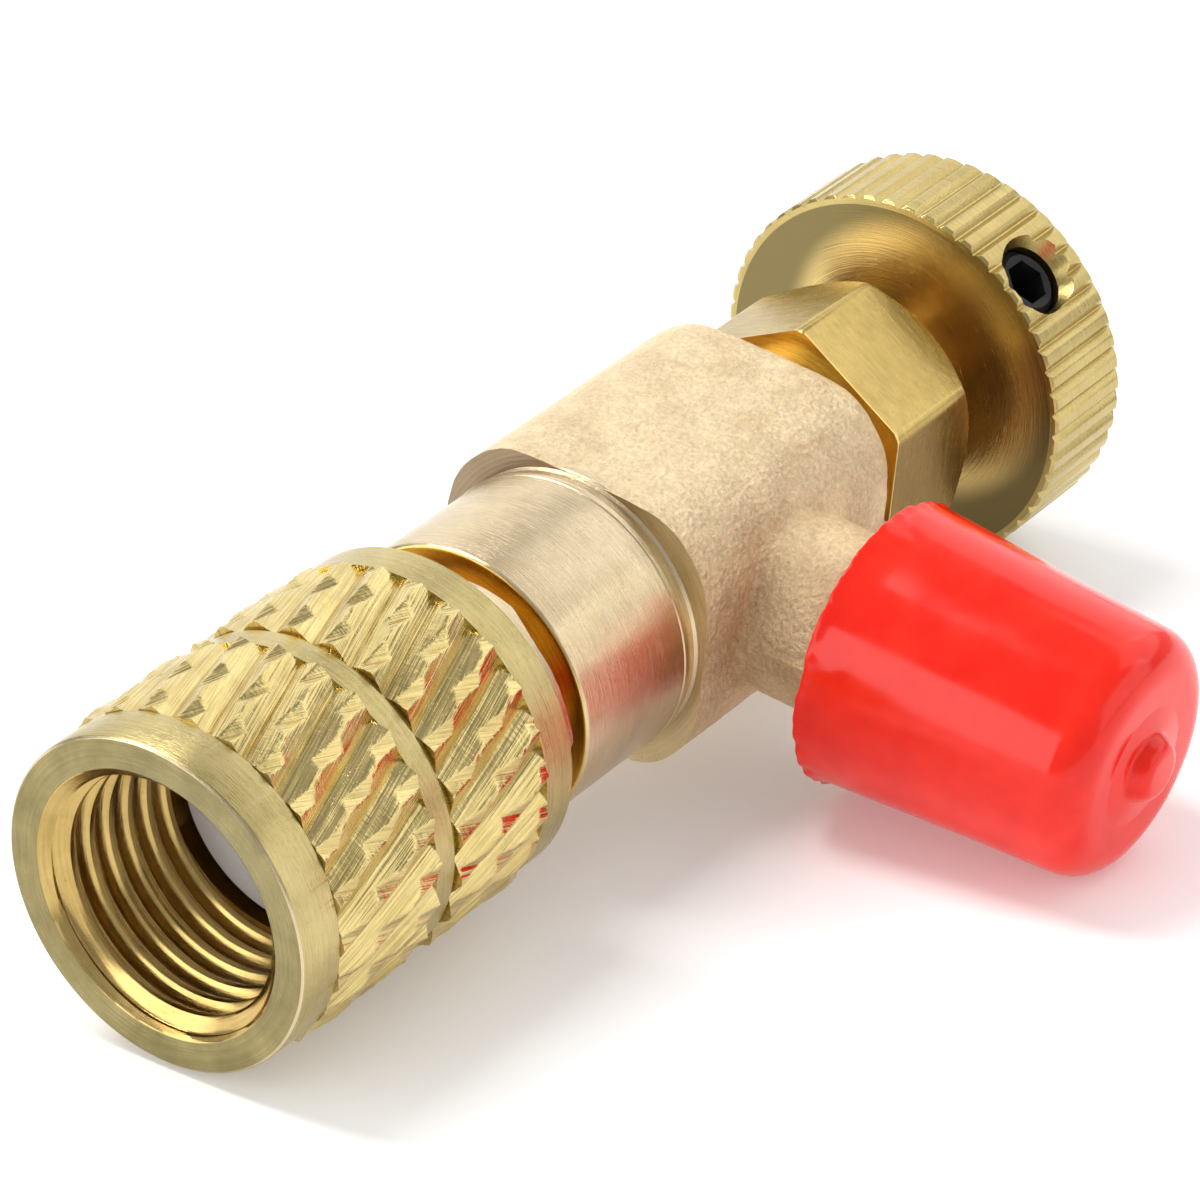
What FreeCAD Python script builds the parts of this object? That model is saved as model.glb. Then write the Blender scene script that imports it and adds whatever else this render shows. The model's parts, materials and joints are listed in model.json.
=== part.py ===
import FreeCAD, Part
import math
import os
import re
import Sketcher

# A refrigerant charging control valve, in millimetres.
#
# Every sub-part is drawn in the valve's own axes: +X runs along the main axis from the mouth of the
# swivel nut to the hand wheel, the side port points along -Y, and +Z is square to both. Pieces on the
# side port, and pieces turned with the hand wheel's set screw, have a local frame of their own in it.
# The valve lies on three points: the nut's knurl, the rim of the wheel and the end of the red cap.
# rest_placement works out that lie from the driving dimensions, and every sub-part gets it.

# Driving dimensions. Names ending in _at are places along the main axis, names ending in _reach are
# places along the side port measured from the main axis, and _r is a radius.
SIZES = {
    # Swivel nut, 1/2"-20 UNF inside
    "nut_length": 19.5,
    "nut_band_r": 8.0,
    "nut_band_length": 2.5,
    "nut_knurl_r": 8.3,
    "nut_front_knurl_end": 9.2,
    "nut_waist_r": 7.95,
    "nut_rear_knurl_start": 10.6,
    "nut_rear_knurl_end": 16.9,
    "nut_rear_chamfer": 0.9,
    "nut_edge": 0.3,
    "nut_mouth_r": 6.4,
    "nut_thread_minor_r": 5.67,
    "nut_thread_length": 8.6,
    "nut_chamber_r": 6.4,
    "nut_chamber_end": 10.2,
    "nut_bore_r": 5.4,
    # Split wire ring that holds the nut on the spigot
    "ring_at": 14.0,
    "ring_wire_r": 0.6,
    "ring_mean_r": 5.33,
    "ring_sweep": 325.0,
    "ring_nut_groove_r": 6.0,
    "ring_nut_groove_half": 0.65,
    "ring_spigot_groove_r": 4.05,
    "ring_spigot_groove_start": 13.3,
    "ring_spigot_groove_end": 15.9,
    # Gasket on the nose of the spigot
    "gasket_at": 8.6,
    "gasket_thickness": 1.5,
    "gasket_outer_r": 5.6,
    "gasket_inner_r": 2.0,
    # Forged body
    "spigot_r": 5.25,
    "spigot_edge": 0.3,
    "shoulder_at": 21.3,
    "shoulder_r": 7.0,
    "shoulder_edge": 0.25,
    "shoulder_end": 29.1,
    "undercut_r": 6.8,
    "block_at": 29.8,
    "block_end": 45.3,
    "block_r": 8.15,
    "block_half_height": 6.9,
    "block_port_face": 7.3,
    "block_back_face": 7.45,
    "block_corner": 1.2,
    "block_rear_edge": 0.9,
    "flow_bore_r": 2.6,
    "chamber_at": 31.0,
    "chamber_r": 4.4,
    "bonnet_bore_at": 39.2,
    "bonnet_bore_r": 5.0,
    # Side port, 7/16"-20 UNF flare
    "port_at": 37.0,
    "neck_r": 4.4,
    "neck_reach": 7.9,
    "neck_root_r": 4.9,
    "neck_root_reach": 6.4,
    "port_thread_start_reach": 12.6,
    "port_thread_end_reach": 20.6,
    "port_thread_r": 5.556,
    "flare_r": 4.7,
    "flare_start_reach": 21.2,
    "flare_tip_r": 3.0,
    "flare_end_reach": 22.9,
    "port_tip_reach": 24.2,
    "port_bore_r": 2.0,
    # Cap on the side port
    "cap_rim_reach": 11.94,
    "cap_rim_r": 6.8,
    "cap_waist_reach": 20.0,
    "cap_waist_r": 6.25,
    "cap_shoulder_r": 5.92,
    "cap_end_reach": 26.2,
    "cap_corner": 2.0,
    "cap_nipple_r": 1.5,
    "cap_nipple_reach": 27.2,
    "cap_cavity_r": 5.62,
    "cap_cavity_reach": 21.2,
    "cap_tip_cavity_r": 4.9,
    "cap_tip_cavity_reach": 24.9,
    # Washer and bonnet
    "washer_thickness": 0.6,
    "washer_outer_r": 5.9,
    "washer_inner_r": 5.05,
    "bonnet_neck_r": 5.6,
    "hex_start": 47.0,
    "hex_end": 53.6,
    "hex_across_flats": 12.0,
    "hex_corner_angle": 89.9,
    "hex_near_chamfer": 0.2,
    "hex_far_chamfer": 0.93,
    "bonnet_thread_r": 3.4,
    "gland_at": 44.5,
    "gland_r": 2.55,
    # Stem
    "stem_nose_at": 34.5,
    "stem_nose_r": 2.2,
    "stem_collar_at": 37.7,
    "stem_collar_r": 4.0,
    "stem_thread_at": 39.1,
    "stem_thread_r": 3.3,
    "stem_rod_at": 44.4,
    "stem_rod_r": 2.5,
    "stem_end": 61.3,
    "stem_edge": 0.3,
    "stem_pin_bore_r": 1.25,
    "stem_pin_bore_end": 37.5,
    "o_ring_groove_r": 1.75,
    "o_ring_groove_half": 0.55,
    "o_ring_inner_at": 48.4,
    "o_ring_outer_at": 50.4,
    "o_ring_mean_r": 2.145,
    "o_ring_wire_r": 0.395,
    "stem_flat_r": 2.2,
    "stem_flat_half": 2.2,
    # Depressor pin
    "pin_tip_at": 9.55,
    "pin_end": 37.4,
    "pin_r": 1.2,
    "pin_edge": 0.35,
    # Hand wheel and its set screw
    "wheel_at": 55.9,
    "wheel_end": 61.9,
    "wheel_face_r": 9.12,
    "wheel_tip_r": 9.57,
    "wheel_front_chamfer": 0.4,
    "wheel_rear_chamfer": 0.5,
    "wheel_bore_r": 2.52,
    "wheel_root_r": 9.33,
    "wheel_teeth": 52,
    "wheel_groove_half": 0.28,
    "wheel_groove_reach": 9.75,
    "screw_at": 58.4,
    "screw_angle": 129.0,
    "screw_r": 1.75,
    "screw_sink_r": 1.95,
    "screw_sink_start": 9.15,
    "screw_top_reach": 8.65,
    "screw_socket_across_flats": 2.0,
    "screw_socket_depth": 2.0,
    "screw_point_r": 1.1,
    "screw_point_length": 0.6,
}

X_AXIS = FreeCAD.Vector(1, 0, 0)
Y_AXIS = FreeCAD.Vector(0, 1, 0)

doc = FreeCAD.newDocument("charging_control_valve")
sheet = doc.addObject("Spreadsheet::Sheet", "Size")
for row, (alias, size) in enumerate(SIZES.items(), start=1):
    sheet.set(f"A{row}", alias.replace("_", " "))
    sheet.set(f"B{row}", str(size))
    sheet.setAlias(f"B{row}", alias)
doc.recompute()

sub_parts = {}


def bound(text):
    """The expression text with each sheet alias in it pointed at the sheet."""
    return re.sub(r"[a-z_]+", lambda word: "Size." + word[0] if word[0] in SIZES else word[0], text)


def value(text):
    """The number that an expression of sheet aliases comes to."""
    return float(sheet.evalExpression(bound(text)))


def bind(thing, **sizes):
    """Bind properties of a document object to expressions of the sheet."""
    for name, text in sizes.items():
        thing.setExpression(name, bound(text))


def add_sub_part(kind, label, local=None):
    """A document object with its own label; local is its frame in the valve's axes."""
    made = doc.addObject(kind, label)
    made.Label = label
    sub_parts[label] = (made, local or FreeCAD.Placement())
    return made


def origin_feature(body, role):
    return next(item for item in body.Origin.OriginFeatures if item.Role == role)


def add_sketch(body, name, plane="XY_Plane", along=None):
    """A sketch on one of the body's own origin planes, moved along its first axis by an expression."""
    made = body.newObject("Sketcher::SketchObject", name)
    made.AttachmentSupport = (origin_feature(body, plane), [""])
    made.MapMode = "FlatFace"
    if along:
        made.setExpression("AttachmentOffset.Base.x", bound(along))
    return made


def place_point(sketch, line, across, up):
    """Hold the start of a line at (across, up) from the sketch's origin, both as expressions."""
    for kind, text in (("DistanceX", across), ("DistanceY", up)):
        index = sketch.addConstraint(Sketcher.Constraint(kind, -1, 1, line, 1, value(text)))
        sketch.setExpression(f"Constraints[{index}]", bound(text))


def add_outline(sketch, points):
    """A closed outline of straight lines through points given as pairs of expressions."""
    corners = [FreeCAD.Vector(value(across), value(up), 0) for across, up in points]
    count = len(corners)
    for index in range(count):
        sketch.addGeometry(Part.LineSegment(corners[index], corners[(index + 1) % count]))
    for index in range(count):
        sketch.addConstraint(Sketcher.Constraint("Coincident", index, 2, (index + 1) % count, 1))
    for index, (across, up) in enumerate(points):
        place_point(sketch, index, across, up)


def revolve(body, name, points, cut=False, axis="H_Axis", along=None):
    """Turn an outline right round: about the main axis, or about a side axis at along."""
    profile = add_sketch(body, name + "_profile", along=along)
    add_outline(profile, points)
    feature = body.newObject("PartDesign::Groove" if cut else "PartDesign::Revolution", name)
    feature.Profile = profile
    feature.ReferenceAxis = (profile, [axis])
    feature.Angle = 360
    doc.recompute()
    return feature


def polygon_points(sides, across_flats, first_corner):
    """The corners of a regular polygon as expressions, the first at an angle in degrees."""
    step = 360 / sides
    radius = f"({across_flats}) / 2 / cos({step / 2})"
    angles = [f"{first_corner} + {index * step}" for index in range(sides)]
    return [(f"{radius} * cos({angle})", f"{radius} * sin({angle})") for angle in angles]


def extrude(body, name, sketch, length, cut=False, backwards=False):
    """Pad or pocket a sketch by a bound length."""
    before = body.Shape.Volume if body.Tip else 0.0
    feature = body.newObject("PartDesign::Pocket" if cut else "PartDesign::Pad", name)
    feature.Profile = sketch
    feature.Reversed = backwards
    bind(feature, Length=length)
    doc.recompute()
    change = feature.Shape.Volume - before
    if (change >= 0) == cut:
        raise ValueError(f"{name} points away from the solid")
    return feature


def edges_where(shape, test):
    """Names of the shape's edges that pass a test."""
    return [f"Edge{index}" for index, edge in enumerate(shape.Edges, start=1) if test(edge)]


def dress(body, kind, name, base, edge_names, size):
    """A fillet or chamfer of a bound size on the named edges."""
    if not edge_names:
        raise ValueError(f"{name} found no edge")
    feature = body.newObject("PartDesign::" + kind, name)
    feature.Base = (base, edge_names)
    bind(feature, **{"Radius" if kind == "Fillet" else "Size": size})
    doc.recompute()
    return feature


def is_circle(edge, radius, centre):
    """Whether the edge is a full circle of that radius round that centre."""
    if not hasattr(edge.Curve, "Radius") or not edge.isClosed():
        return False
    return abs(edge.Curve.Radius - radius) < 0.01 and edge.Curve.Center.distanceToPoint(centre) < 0.01


# ---- Swivel nut ---------------------------------------------------------------------------------

def make_swivel_nut():
    """Knurled outside in two bands; inside the thread, the gasket's chamber and the rear bore."""
    body = add_sub_part("PartDesign::Body", "swivel_nut")
    revolve(body, "nut_blank", [
        ("0", "nut_mouth_r"),
        ("0", "nut_band_r - nut_edge"),
        ("nut_edge", "nut_band_r"),
        ("nut_band_length", "nut_band_r"),
        ("nut_band_length", "nut_knurl_r"),
        ("nut_front_knurl_end", "nut_knurl_r"),
        ("nut_front_knurl_end", "nut_waist_r"),
        ("nut_rear_knurl_start", "nut_waist_r"),
        ("nut_rear_knurl_start", "nut_knurl_r"),
        ("nut_rear_knurl_end", "nut_knurl_r"),
        ("nut_rear_knurl_end", "nut_band_r"),
        ("nut_length - nut_rear_chamfer", "nut_band_r"),
        ("nut_length", "nut_band_r - nut_rear_chamfer"),
        ("nut_length", "nut_bore_r"),
        ("nut_chamber_end", "nut_bore_r"),
        ("nut_chamber_end", "nut_chamber_r"),
        ("nut_thread_length", "nut_chamber_r"),
        ("nut_thread_length", "nut_thread_minor_r"),
        ("nut_mouth_r - nut_thread_minor_r", "nut_thread_minor_r"),
    ])
    revolve(body, "ring_groove", [
        ("ring_at - ring_nut_groove_half", "nut_bore_r - 0.1"),
        ("ring_at - ring_nut_groove_half", "ring_nut_groove_r"),
        ("ring_at + ring_nut_groove_half", "ring_nut_groove_r"),
        ("ring_at + ring_nut_groove_half", "nut_bore_r - 0.1"),
    ], cut=True)


def make_wire_ring(label, at, mean_radius, wire_radius, sweep="360"):
    """A ring of round wire about the main axis, split when it sweeps less than a full turn."""
    local = FreeCAD.Placement(X_AXIS * value(at), FreeCAD.Rotation(Y_AXIS, 90))
    ring = add_sub_part("Part::Torus", label, local)
    bind(ring, Radius1=mean_radius, Radius2=wire_radius, Angle3=sweep)


def make_face_gasket():
    body = add_sub_part("PartDesign::Body", "face_gasket")
    revolve(body, "gasket_ring", [
        ("gasket_at", "gasket_inner_r"),
        ("gasket_at", "gasket_outer_r"),
        ("gasket_at + gasket_thickness", "gasket_outer_r"),
        ("gasket_at + gasket_thickness", "gasket_inner_r"),
    ])


# ---- Forged body --------------------------------------------------------------------------------

def add_block_section(sketch):
    """A circle cut by two level flats and by the port and back faces."""
    half = "block_half_height"
    level = f"sqrt(block_r ^ 2 - {half} ^ 2)"
    port = "sqrt(block_r ^ 2 - block_port_face ^ 2)"
    back = "sqrt(block_r ^ 2 - block_back_face ^ 2)"
    corners = [
        (level, half),
        (f"-{level}", half),
        ("-block_port_face", port),
        ("-block_port_face", f"-{port}"),
        (f"-{level}", f"-{half}"),
        (level, f"-{half}"),
        ("block_back_face", f"-{back}"),
        ("block_back_face", back),
    ]
    points = [FreeCAD.Vector(value(across), value(up), 0) for across, up in corners]
    circle = Part.Circle(FreeCAD.Vector(), FreeCAD.Vector(0, 0, 1), value("block_r"))
    for index in range(8):
        start = points[index]
        end = points[(index + 1) % 8]
        if index % 2 == 0:
            sketch.addGeometry(Part.LineSegment(start, end))
            continue
        angles = [math.atan2(point.y, point.x) for point in (start, end)]
        sketch.addGeometry(Part.ArcOfCircle(circle, angles[0], angles[1]))
        sketch.addConstraint(Sketcher.Constraint("Coincident", index, 3, -1, 1))
    for index in range(8):
        sketch.addConstraint(Sketcher.Constraint("Coincident", index, 2, (index + 1) % 8, 1))
    for index in (0, 2, 4, 6):
        place_point(sketch, index, *corners[index])
    for index in (0, 4):
        sketch.addConstraint(Sketcher.Constraint("Horizontal", index))
    for index in (2, 6):
        sketch.addConstraint(Sketcher.Constraint("Vertical", index))


def is_block_corner(edge):
    """Whether the edge is one of the eight that run the length of the block."""
    ends = [vertex.Point for vertex in edge.Vertexes]
    if len(ends) != 2 or ends[0].cross(X_AXIS).distanceToPoint(ends[1].cross(X_AXIS)) > 0.01:
        return False
    away = math.hypot(ends[0].y, ends[0].z)
    return abs(away - value("block_r")) < 0.01 and edge.Length > 5


def is_block_rear_edge(edge):
    """Whether the edge lies in the rim of the block's rear face."""
    ends = [vertex.Point for vertex in edge.Vertexes]
    at_rear = all(abs(point.x - value("block_end")) < 0.01 for point in ends)
    outermost = value("block_half_height") - 0.01
    return at_rear and all(math.hypot(point.y, point.z) > outermost for point in ends)


def make_valve_body():
    """One forging: spigot, turned shoulder, block and side port, bored through."""
    body = add_sub_part("PartDesign::Body", "valve_body")
    section = add_sketch(body, "block_section", plane="YZ_Plane")
    section.setExpression("AttachmentOffset.Base.z", bound("block_at"))
    add_block_section(section)
    block = extrude(body, "block", section, "block_end - block_at")
    corners = dress(body, "Fillet", "block_corners", block, edges_where(block.Shape, is_block_corner),
                    "block_corner")
    rear = edges_where(corners.Shape, is_block_rear_edge)
    dress(body, "Fillet", "block_rear", corners, rear, "block_rear_edge")
    revolve(body, "spigot_and_shoulder", [
        ("gasket_at + gasket_thickness", "0"),
        ("gasket_at + gasket_thickness", "spigot_r - spigot_edge"),
        ("gasket_at + gasket_thickness + spigot_edge", "spigot_r"),
        ("shoulder_at", "spigot_r"),
        ("shoulder_at", "shoulder_r - shoulder_edge"),
        ("shoulder_at + shoulder_edge", "shoulder_r"),
        ("shoulder_end - shoulder_edge", "shoulder_r"),
        ("shoulder_end", "shoulder_r - shoulder_edge"),
        ("shoulder_end", "undercut_r"),
        ("block_at + 1", "undercut_r"),
        ("block_at + 1", "0"),
    ])
    revolve(body, "side_port", [
        ("0", "0"),
        ("neck_root_r", "0"),
        ("neck_root_r", "-neck_root_reach"),
        ("neck_r", "-neck_reach"),
        ("neck_r", "-port_thread_start_reach"),
        ("port_thread_r", "-port_thread_start_reach"),
        ("port_thread_r", "-port_thread_end_reach"),
        ("flare_r", "-flare_start_reach"),
        ("flare_tip_r", "-flare_end_reach"),
        ("flare_tip_r", "-port_tip_reach"),
        ("0", "-port_tip_reach"),
    ], axis="V_Axis", along="port_at")
    revolve(body, "main_bore", [
        ("gasket_at", "0"),
        ("gasket_at", "flow_bore_r"),
        ("chamber_at", "flow_bore_r"),
        ("chamber_at", "chamber_r"),
        ("bonnet_bore_at", "chamber_r"),
        ("bonnet_bore_at", "bonnet_bore_r"),
        ("block_end + 1", "bonnet_bore_r"),
        ("block_end + 1", "0"),
    ], cut=True)
    revolve(body, "port_bore", [
        ("0", "0"),
        ("port_bore_r", "0"),
        ("port_bore_r", "-(port_tip_reach + 1)"),
        ("0", "-(port_tip_reach + 1)"),
    ], cut=True, axis="V_Axis", along="port_at")
    revolve(body, "spigot_groove", [
        ("ring_spigot_groove_start", "ring_spigot_groove_r"),
        ("ring_spigot_groove_end", "ring_spigot_groove_r"),
        ("ring_spigot_groove_end", "spigot_r + 0.1"),
        ("ring_spigot_groove_start", "spigot_r + 0.1"),
    ], cut=True)


# ---- Bonnet -------------------------------------------------------------------------------------

def make_bonnet_seal_washer():
    body = add_sub_part("PartDesign::Body", "bonnet_seal_washer")
    revolve(body, "washer_ring", [
        ("block_end", "washer_inner_r"),
        ("block_end", "washer_outer_r"),
        ("block_end + washer_thickness", "washer_outer_r"),
        ("block_end + washer_thickness", "washer_inner_r"),
    ])


def make_bonnet():
    """Hexagon with both ends chamfered, on a neck and a threaded shank, bored for the stem."""
    body = add_sub_part("PartDesign::Body", "bonnet")
    section = add_sketch(body, "hex_section", plane="YZ_Plane")
    section.setExpression("AttachmentOffset.Base.z", bound("hex_start"))
    add_outline(section, polygon_points(6, "hex_across_flats", "hex_corner_angle"))
    extrude(body, "hexagon", section, "hex_end - hex_start")
    corner = "hex_across_flats / 2 / cos(30)"
    for name, end, inward in (("near_chamfer", "hex_start", "+"), ("far_chamfer", "hex_end", "-")):
        revolve(body, name, [
            (end, f"{corner} - hex_{name}"),
            (end, f"{corner} + 1"),
            (f"{end} {inward} (hex_{name} + 1)", f"{corner} + 1"),
        ], cut=True)
    revolve(body, "shank_and_neck", [
        ("bonnet_bore_at", "0"),
        ("bonnet_bore_at", "bonnet_bore_r"),
        ("block_end + washer_thickness", "bonnet_bore_r"),
        ("block_end + washer_thickness", "bonnet_neck_r"),
        ("hex_start + 1", "bonnet_neck_r"),
        ("hex_start + 1", "0"),
    ])
    revolve(body, "stem_bore", [
        ("bonnet_bore_at - 1", "0"),
        ("bonnet_bore_at - 1", "bonnet_thread_r"),
        ("gland_at", "bonnet_thread_r"),
        ("gland_at", "gland_r"),
        ("hex_end + 1", "gland_r"),
        ("hex_end + 1", "0"),
    ], cut=True)


# ---- Stem and pin -------------------------------------------------------------------------------

def wheel_frame():
    """The hand wheel's frame: the valve's, turned until +Y points along the set screw."""
    return FreeCAD.Placement(FreeCAD.Vector(), FreeCAD.Rotation(X_AXIS, value("screw_angle")))


def make_valve_stem():
    """Nose for the pin, stop collar, thread, grooved rod, and a flat for the set screw."""
    body = add_sub_part("PartDesign::Body", "valve_stem", wheel_frame())
    revolve(body, "stem_blank", [
        ("stem_nose_at", "0"),
        ("stem_nose_at", "stem_nose_r"),
        ("stem_collar_at", "stem_nose_r"),
        ("stem_collar_at", "stem_collar_r"),
        ("stem_thread_at", "stem_collar_r"),
        ("stem_thread_at", "stem_thread_r"),
        ("stem_rod_at", "stem_thread_r"),
        ("stem_rod_at", "stem_rod_r"),
        ("stem_end - stem_edge", "stem_rod_r"),
        ("stem_end", "stem_rod_r - stem_edge"),
        ("stem_end", "0"),
    ])
    for name, at in (("inner_groove", "o_ring_inner_at"), ("outer_groove", "o_ring_outer_at")):
        revolve(body, name, [
            (f"{at} - o_ring_groove_half", "o_ring_groove_r"),
            (f"{at} + o_ring_groove_half", "o_ring_groove_r"),
            (f"{at} + o_ring_groove_half", "stem_rod_r + 1"),
            (f"{at} - o_ring_groove_half", "stem_rod_r + 1"),
        ], cut=True)
    revolve(body, "pin_bore", [
        ("stem_nose_at - 1", "0"),
        ("stem_nose_at - 1", "stem_pin_bore_r"),
        ("stem_pin_bore_end", "stem_pin_bore_r"),
        ("stem_pin_bore_end", "0"),
    ], cut=True)
    flat = add_sketch(body, "flat_outline")
    add_outline(flat, [
        ("screw_at - stem_flat_half", "stem_flat_r"),
        ("screw_at + stem_flat_half", "stem_flat_r"),
        ("screw_at + stem_flat_half", "stem_rod_r + 1"),
        ("screw_at - stem_flat_half", "stem_rod_r + 1"),
    ])
    before = body.Shape.Volume
    cut = body.newObject("PartDesign::Pocket", "screw_flat")
    cut.Profile = flat
    cut.SideType = "Symmetric"
    bind(cut, Length="4 * stem_rod_r")
    doc.recompute()
    if cut.Shape.Volume >= before:
        raise ValueError("screw_flat points away from the solid")


def make_depressor_pin():
    body = add_sub_part("PartDesign::Body", "depressor_pin")
    revolve(body, "pin_rod", [
        ("pin_tip_at", "0"),
        ("pin_tip_at", "pin_r - pin_edge"),
        ("pin_tip_at + pin_edge", "pin_r"),
        ("pin_end", "pin_r"),
        ("pin_end", "0"),
    ])


# ---- Hand wheel ---------------------------------------------------------------------------------

def make_hand_wheel():
    """Straight-knurled disc with a radial tapped hole for the set screw."""
    body = add_sub_part("PartDesign::Body", "hand_wheel", wheel_frame())
    revolve(body, "wheel_blank", [
        ("wheel_at", "wheel_bore_r"),
        ("wheel_at", "wheel_face_r"),
        ("wheel_at + wheel_front_chamfer", "wheel_tip_r"),
        ("wheel_end - wheel_rear_chamfer", "wheel_tip_r"),
        ("wheel_end", "wheel_tip_r - wheel_rear_chamfer"),
        ("wheel_end", "wheel_bore_r"),
    ])
    revolve(body, "screw_hole", [
        ("0", "0"),
        ("screw_r", "0"),
        ("screw_r", "screw_sink_start"),
        ("screw_sink_r", "wheel_tip_r"),
        ("screw_sink_r", "wheel_tip_r + 1"),
        ("0", "wheel_tip_r + 1"),
    ], cut=True, axis="V_Axis", along="screw_at")
    groove = add_sketch(body, "knurl_section", plane="YZ_Plane")
    groove.setExpression("AttachmentOffset.Base.z", bound("wheel_at - 1"))
    flank = "wheel_groove_half / (wheel_tip_r - wheel_root_r)"
    add_outline(groove, [
        ("wheel_root_r", "0"),
        ("wheel_groove_reach", f"(wheel_groove_reach - wheel_root_r) * {flank}"),
        ("wheel_groove_reach", f"-(wheel_groove_reach - wheel_root_r) * {flank}"),
    ])
    cut = extrude(body, "knurl_groove", groove, "wheel_end - wheel_at + 2", cut=True, backwards=True)
    ring = body.newObject("PartDesign::PolarPattern", "knurl")
    ring.Originals = [cut]
    ring.Axis = (origin_feature(body, "X_Axis"), [""])
    ring.Angle = 360
    bind(ring, Occurrences="wheel_teeth")
    body.Tip = ring
    doc.recompute()


def make_set_screw():
    """Grub screw: threaded rod with a cone point on the stem's flat and a hexagon socket."""
    body = add_sub_part("PartDesign::Body", "set_screw", wheel_frame())
    revolve(body, "screw_rod", [
        ("0", "stem_flat_r"),
        ("screw_point_r", "stem_flat_r"),
        ("screw_r", "stem_flat_r + screw_point_length"),
        ("screw_r", "screw_top_reach - stem_edge"),
        ("screw_r - stem_edge", "screw_top_reach"),
        ("0", "screw_top_reach"),
    ], axis="V_Axis", along="screw_at")
    socket = add_sketch(body, "socket_section", plane="XZ_Plane", along="screw_at")
    socket.setExpression("AttachmentOffset.Base.z", bound("-screw_top_reach"))
    add_outline(socket, polygon_points(6, "screw_socket_across_flats", "0"))
    extrude(body, "socket", socket, "screw_socket_depth", cut=True, backwards=True)


# ---- Cap on the side port -----------------------------------------------------------------------

def make_port_cap():
    """Soft push-on cap with a flared rim, a rounded end and a moulding nipple."""
    local = FreeCAD.Placement(X_AXIS * value("port_at"), FreeCAD.Rotation())
    body = add_sub_part("PartDesign::Body", "port_cap", local)
    shell = revolve(body, "cap_shell", [
        ("cap_cavity_r", "-cap_rim_reach"),
        ("cap_rim_r", "-cap_rim_reach"),
        ("cap_waist_r", "-cap_waist_reach"),
        ("cap_shoulder_r", "-cap_end_reach"),
        ("cap_nipple_r", "-cap_end_reach"),
        ("cap_nipple_r", "-cap_nipple_reach"),
        ("0", "-cap_nipple_reach"),
        ("0", "-cap_tip_cavity_reach"),
        ("cap_tip_cavity_r", "-cap_tip_cavity_reach"),
        ("cap_tip_cavity_r", "-cap_cavity_reach"),
        ("cap_cavity_r", "-cap_cavity_reach"),
    ], axis="V_Axis")
    end = FreeCAD.Vector(0, -value("cap_end_reach"), 0)
    corner = edges_where(shell.Shape, lambda edge: is_circle(edge, value("cap_shoulder_r"), end))
    dress(body, "Fillet", "cap_end_corner", shell, corner, "cap_corner")


# ---- The lie of the valve on a level surface ----------------------------------------------------

def up_direction():
    """The surface's upward normal in the valve's axes, from the three points that touch it.

    The nut's knurl and the wheel's rim set the slope of the main axis. The roll about it is the one
    that brings the rounded corner of the cap's end down to the same plane.
    """
    slope = (value("wheel_tip_r") - value("nut_knurl_r")) / (
        value("wheel_at") + value("wheel_front_chamfer") - value("nut_band_length"))
    pitch = math.atan(slope)
    axis_height = value("nut_knurl_r") * math.cos(pitch) - value("nut_band_length") * math.sin(pitch)
    port_height = axis_height + value("port_at") * math.sin(pitch)
    corner = value("cap_corner")
    reach = value("cap_end_reach") - corner
    taper = math.atan2(value("cap_waist_r - cap_shoulder_r"), value("cap_end_reach - cap_waist_reach"))
    ring = value("cap_shoulder_r") + corner * math.tan(taper) - corner / math.cos(taper)
    needed = port_height - corner
    roll = math.asin(needed / math.hypot(reach, ring)) - math.atan2(ring, reach)
    across = math.sin(roll)
    along = math.sin(pitch)
    up = FreeCAD.Vector(along, across, math.sqrt(1 - along ** 2 - across ** 2))
    return up, axis_height


def rest_placement():
    """Turn the valve's axes so that the surface is level, with +X along the main axis seen from above."""
    up, axis_height = up_direction()
    forward = (X_AXIS - up * up.dot(X_AXIS)).normalize()
    turned = FreeCAD.Rotation(forward, up.cross(forward), up, "ZXY").inverted()
    return FreeCAD.Placement(FreeCAD.Vector(0, 0, axis_height), turned)


def place_sub_parts():
    """Lay the valve down, then centre it over the origin."""
    rest = rest_placement()
    for made, local in sub_parts.values():
        made.Placement = rest.multiply(local)
    doc.recompute()
    box = Part.makeCompound([made.Shape for made, _ in sub_parts.values()]).optimalBoundingBox()
    middle = FreeCAD.Vector(box.Center.x, box.Center.y, 0)
    for made, _ in sub_parts.values():
        made.Placement.Base = made.Placement.Base - middle
    doc.recompute()
    return box, middle


def check_document():
    """Stop if any object failed or any sub-part is empty or broken."""
    for item in doc.Objects:
        if {"Invalid", "Error"} & set(item.State):
            raise RuntimeError(f"{item.Name} failed: {item.State}")
    for label, (made, _) in sub_parts.items():
        if made.Shape.isNull() or not made.Shape.isValid() or len(made.Shape.Solids) != 1:
            raise RuntimeError(f"{label} is not one valid solid")


def write_sub_parts():
    os.makedirs("parts", exist_ok=True)
    for label, (made, _) in sub_parts.items():
        made.Shape.exportStep(f"parts/{label}.step")


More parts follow.
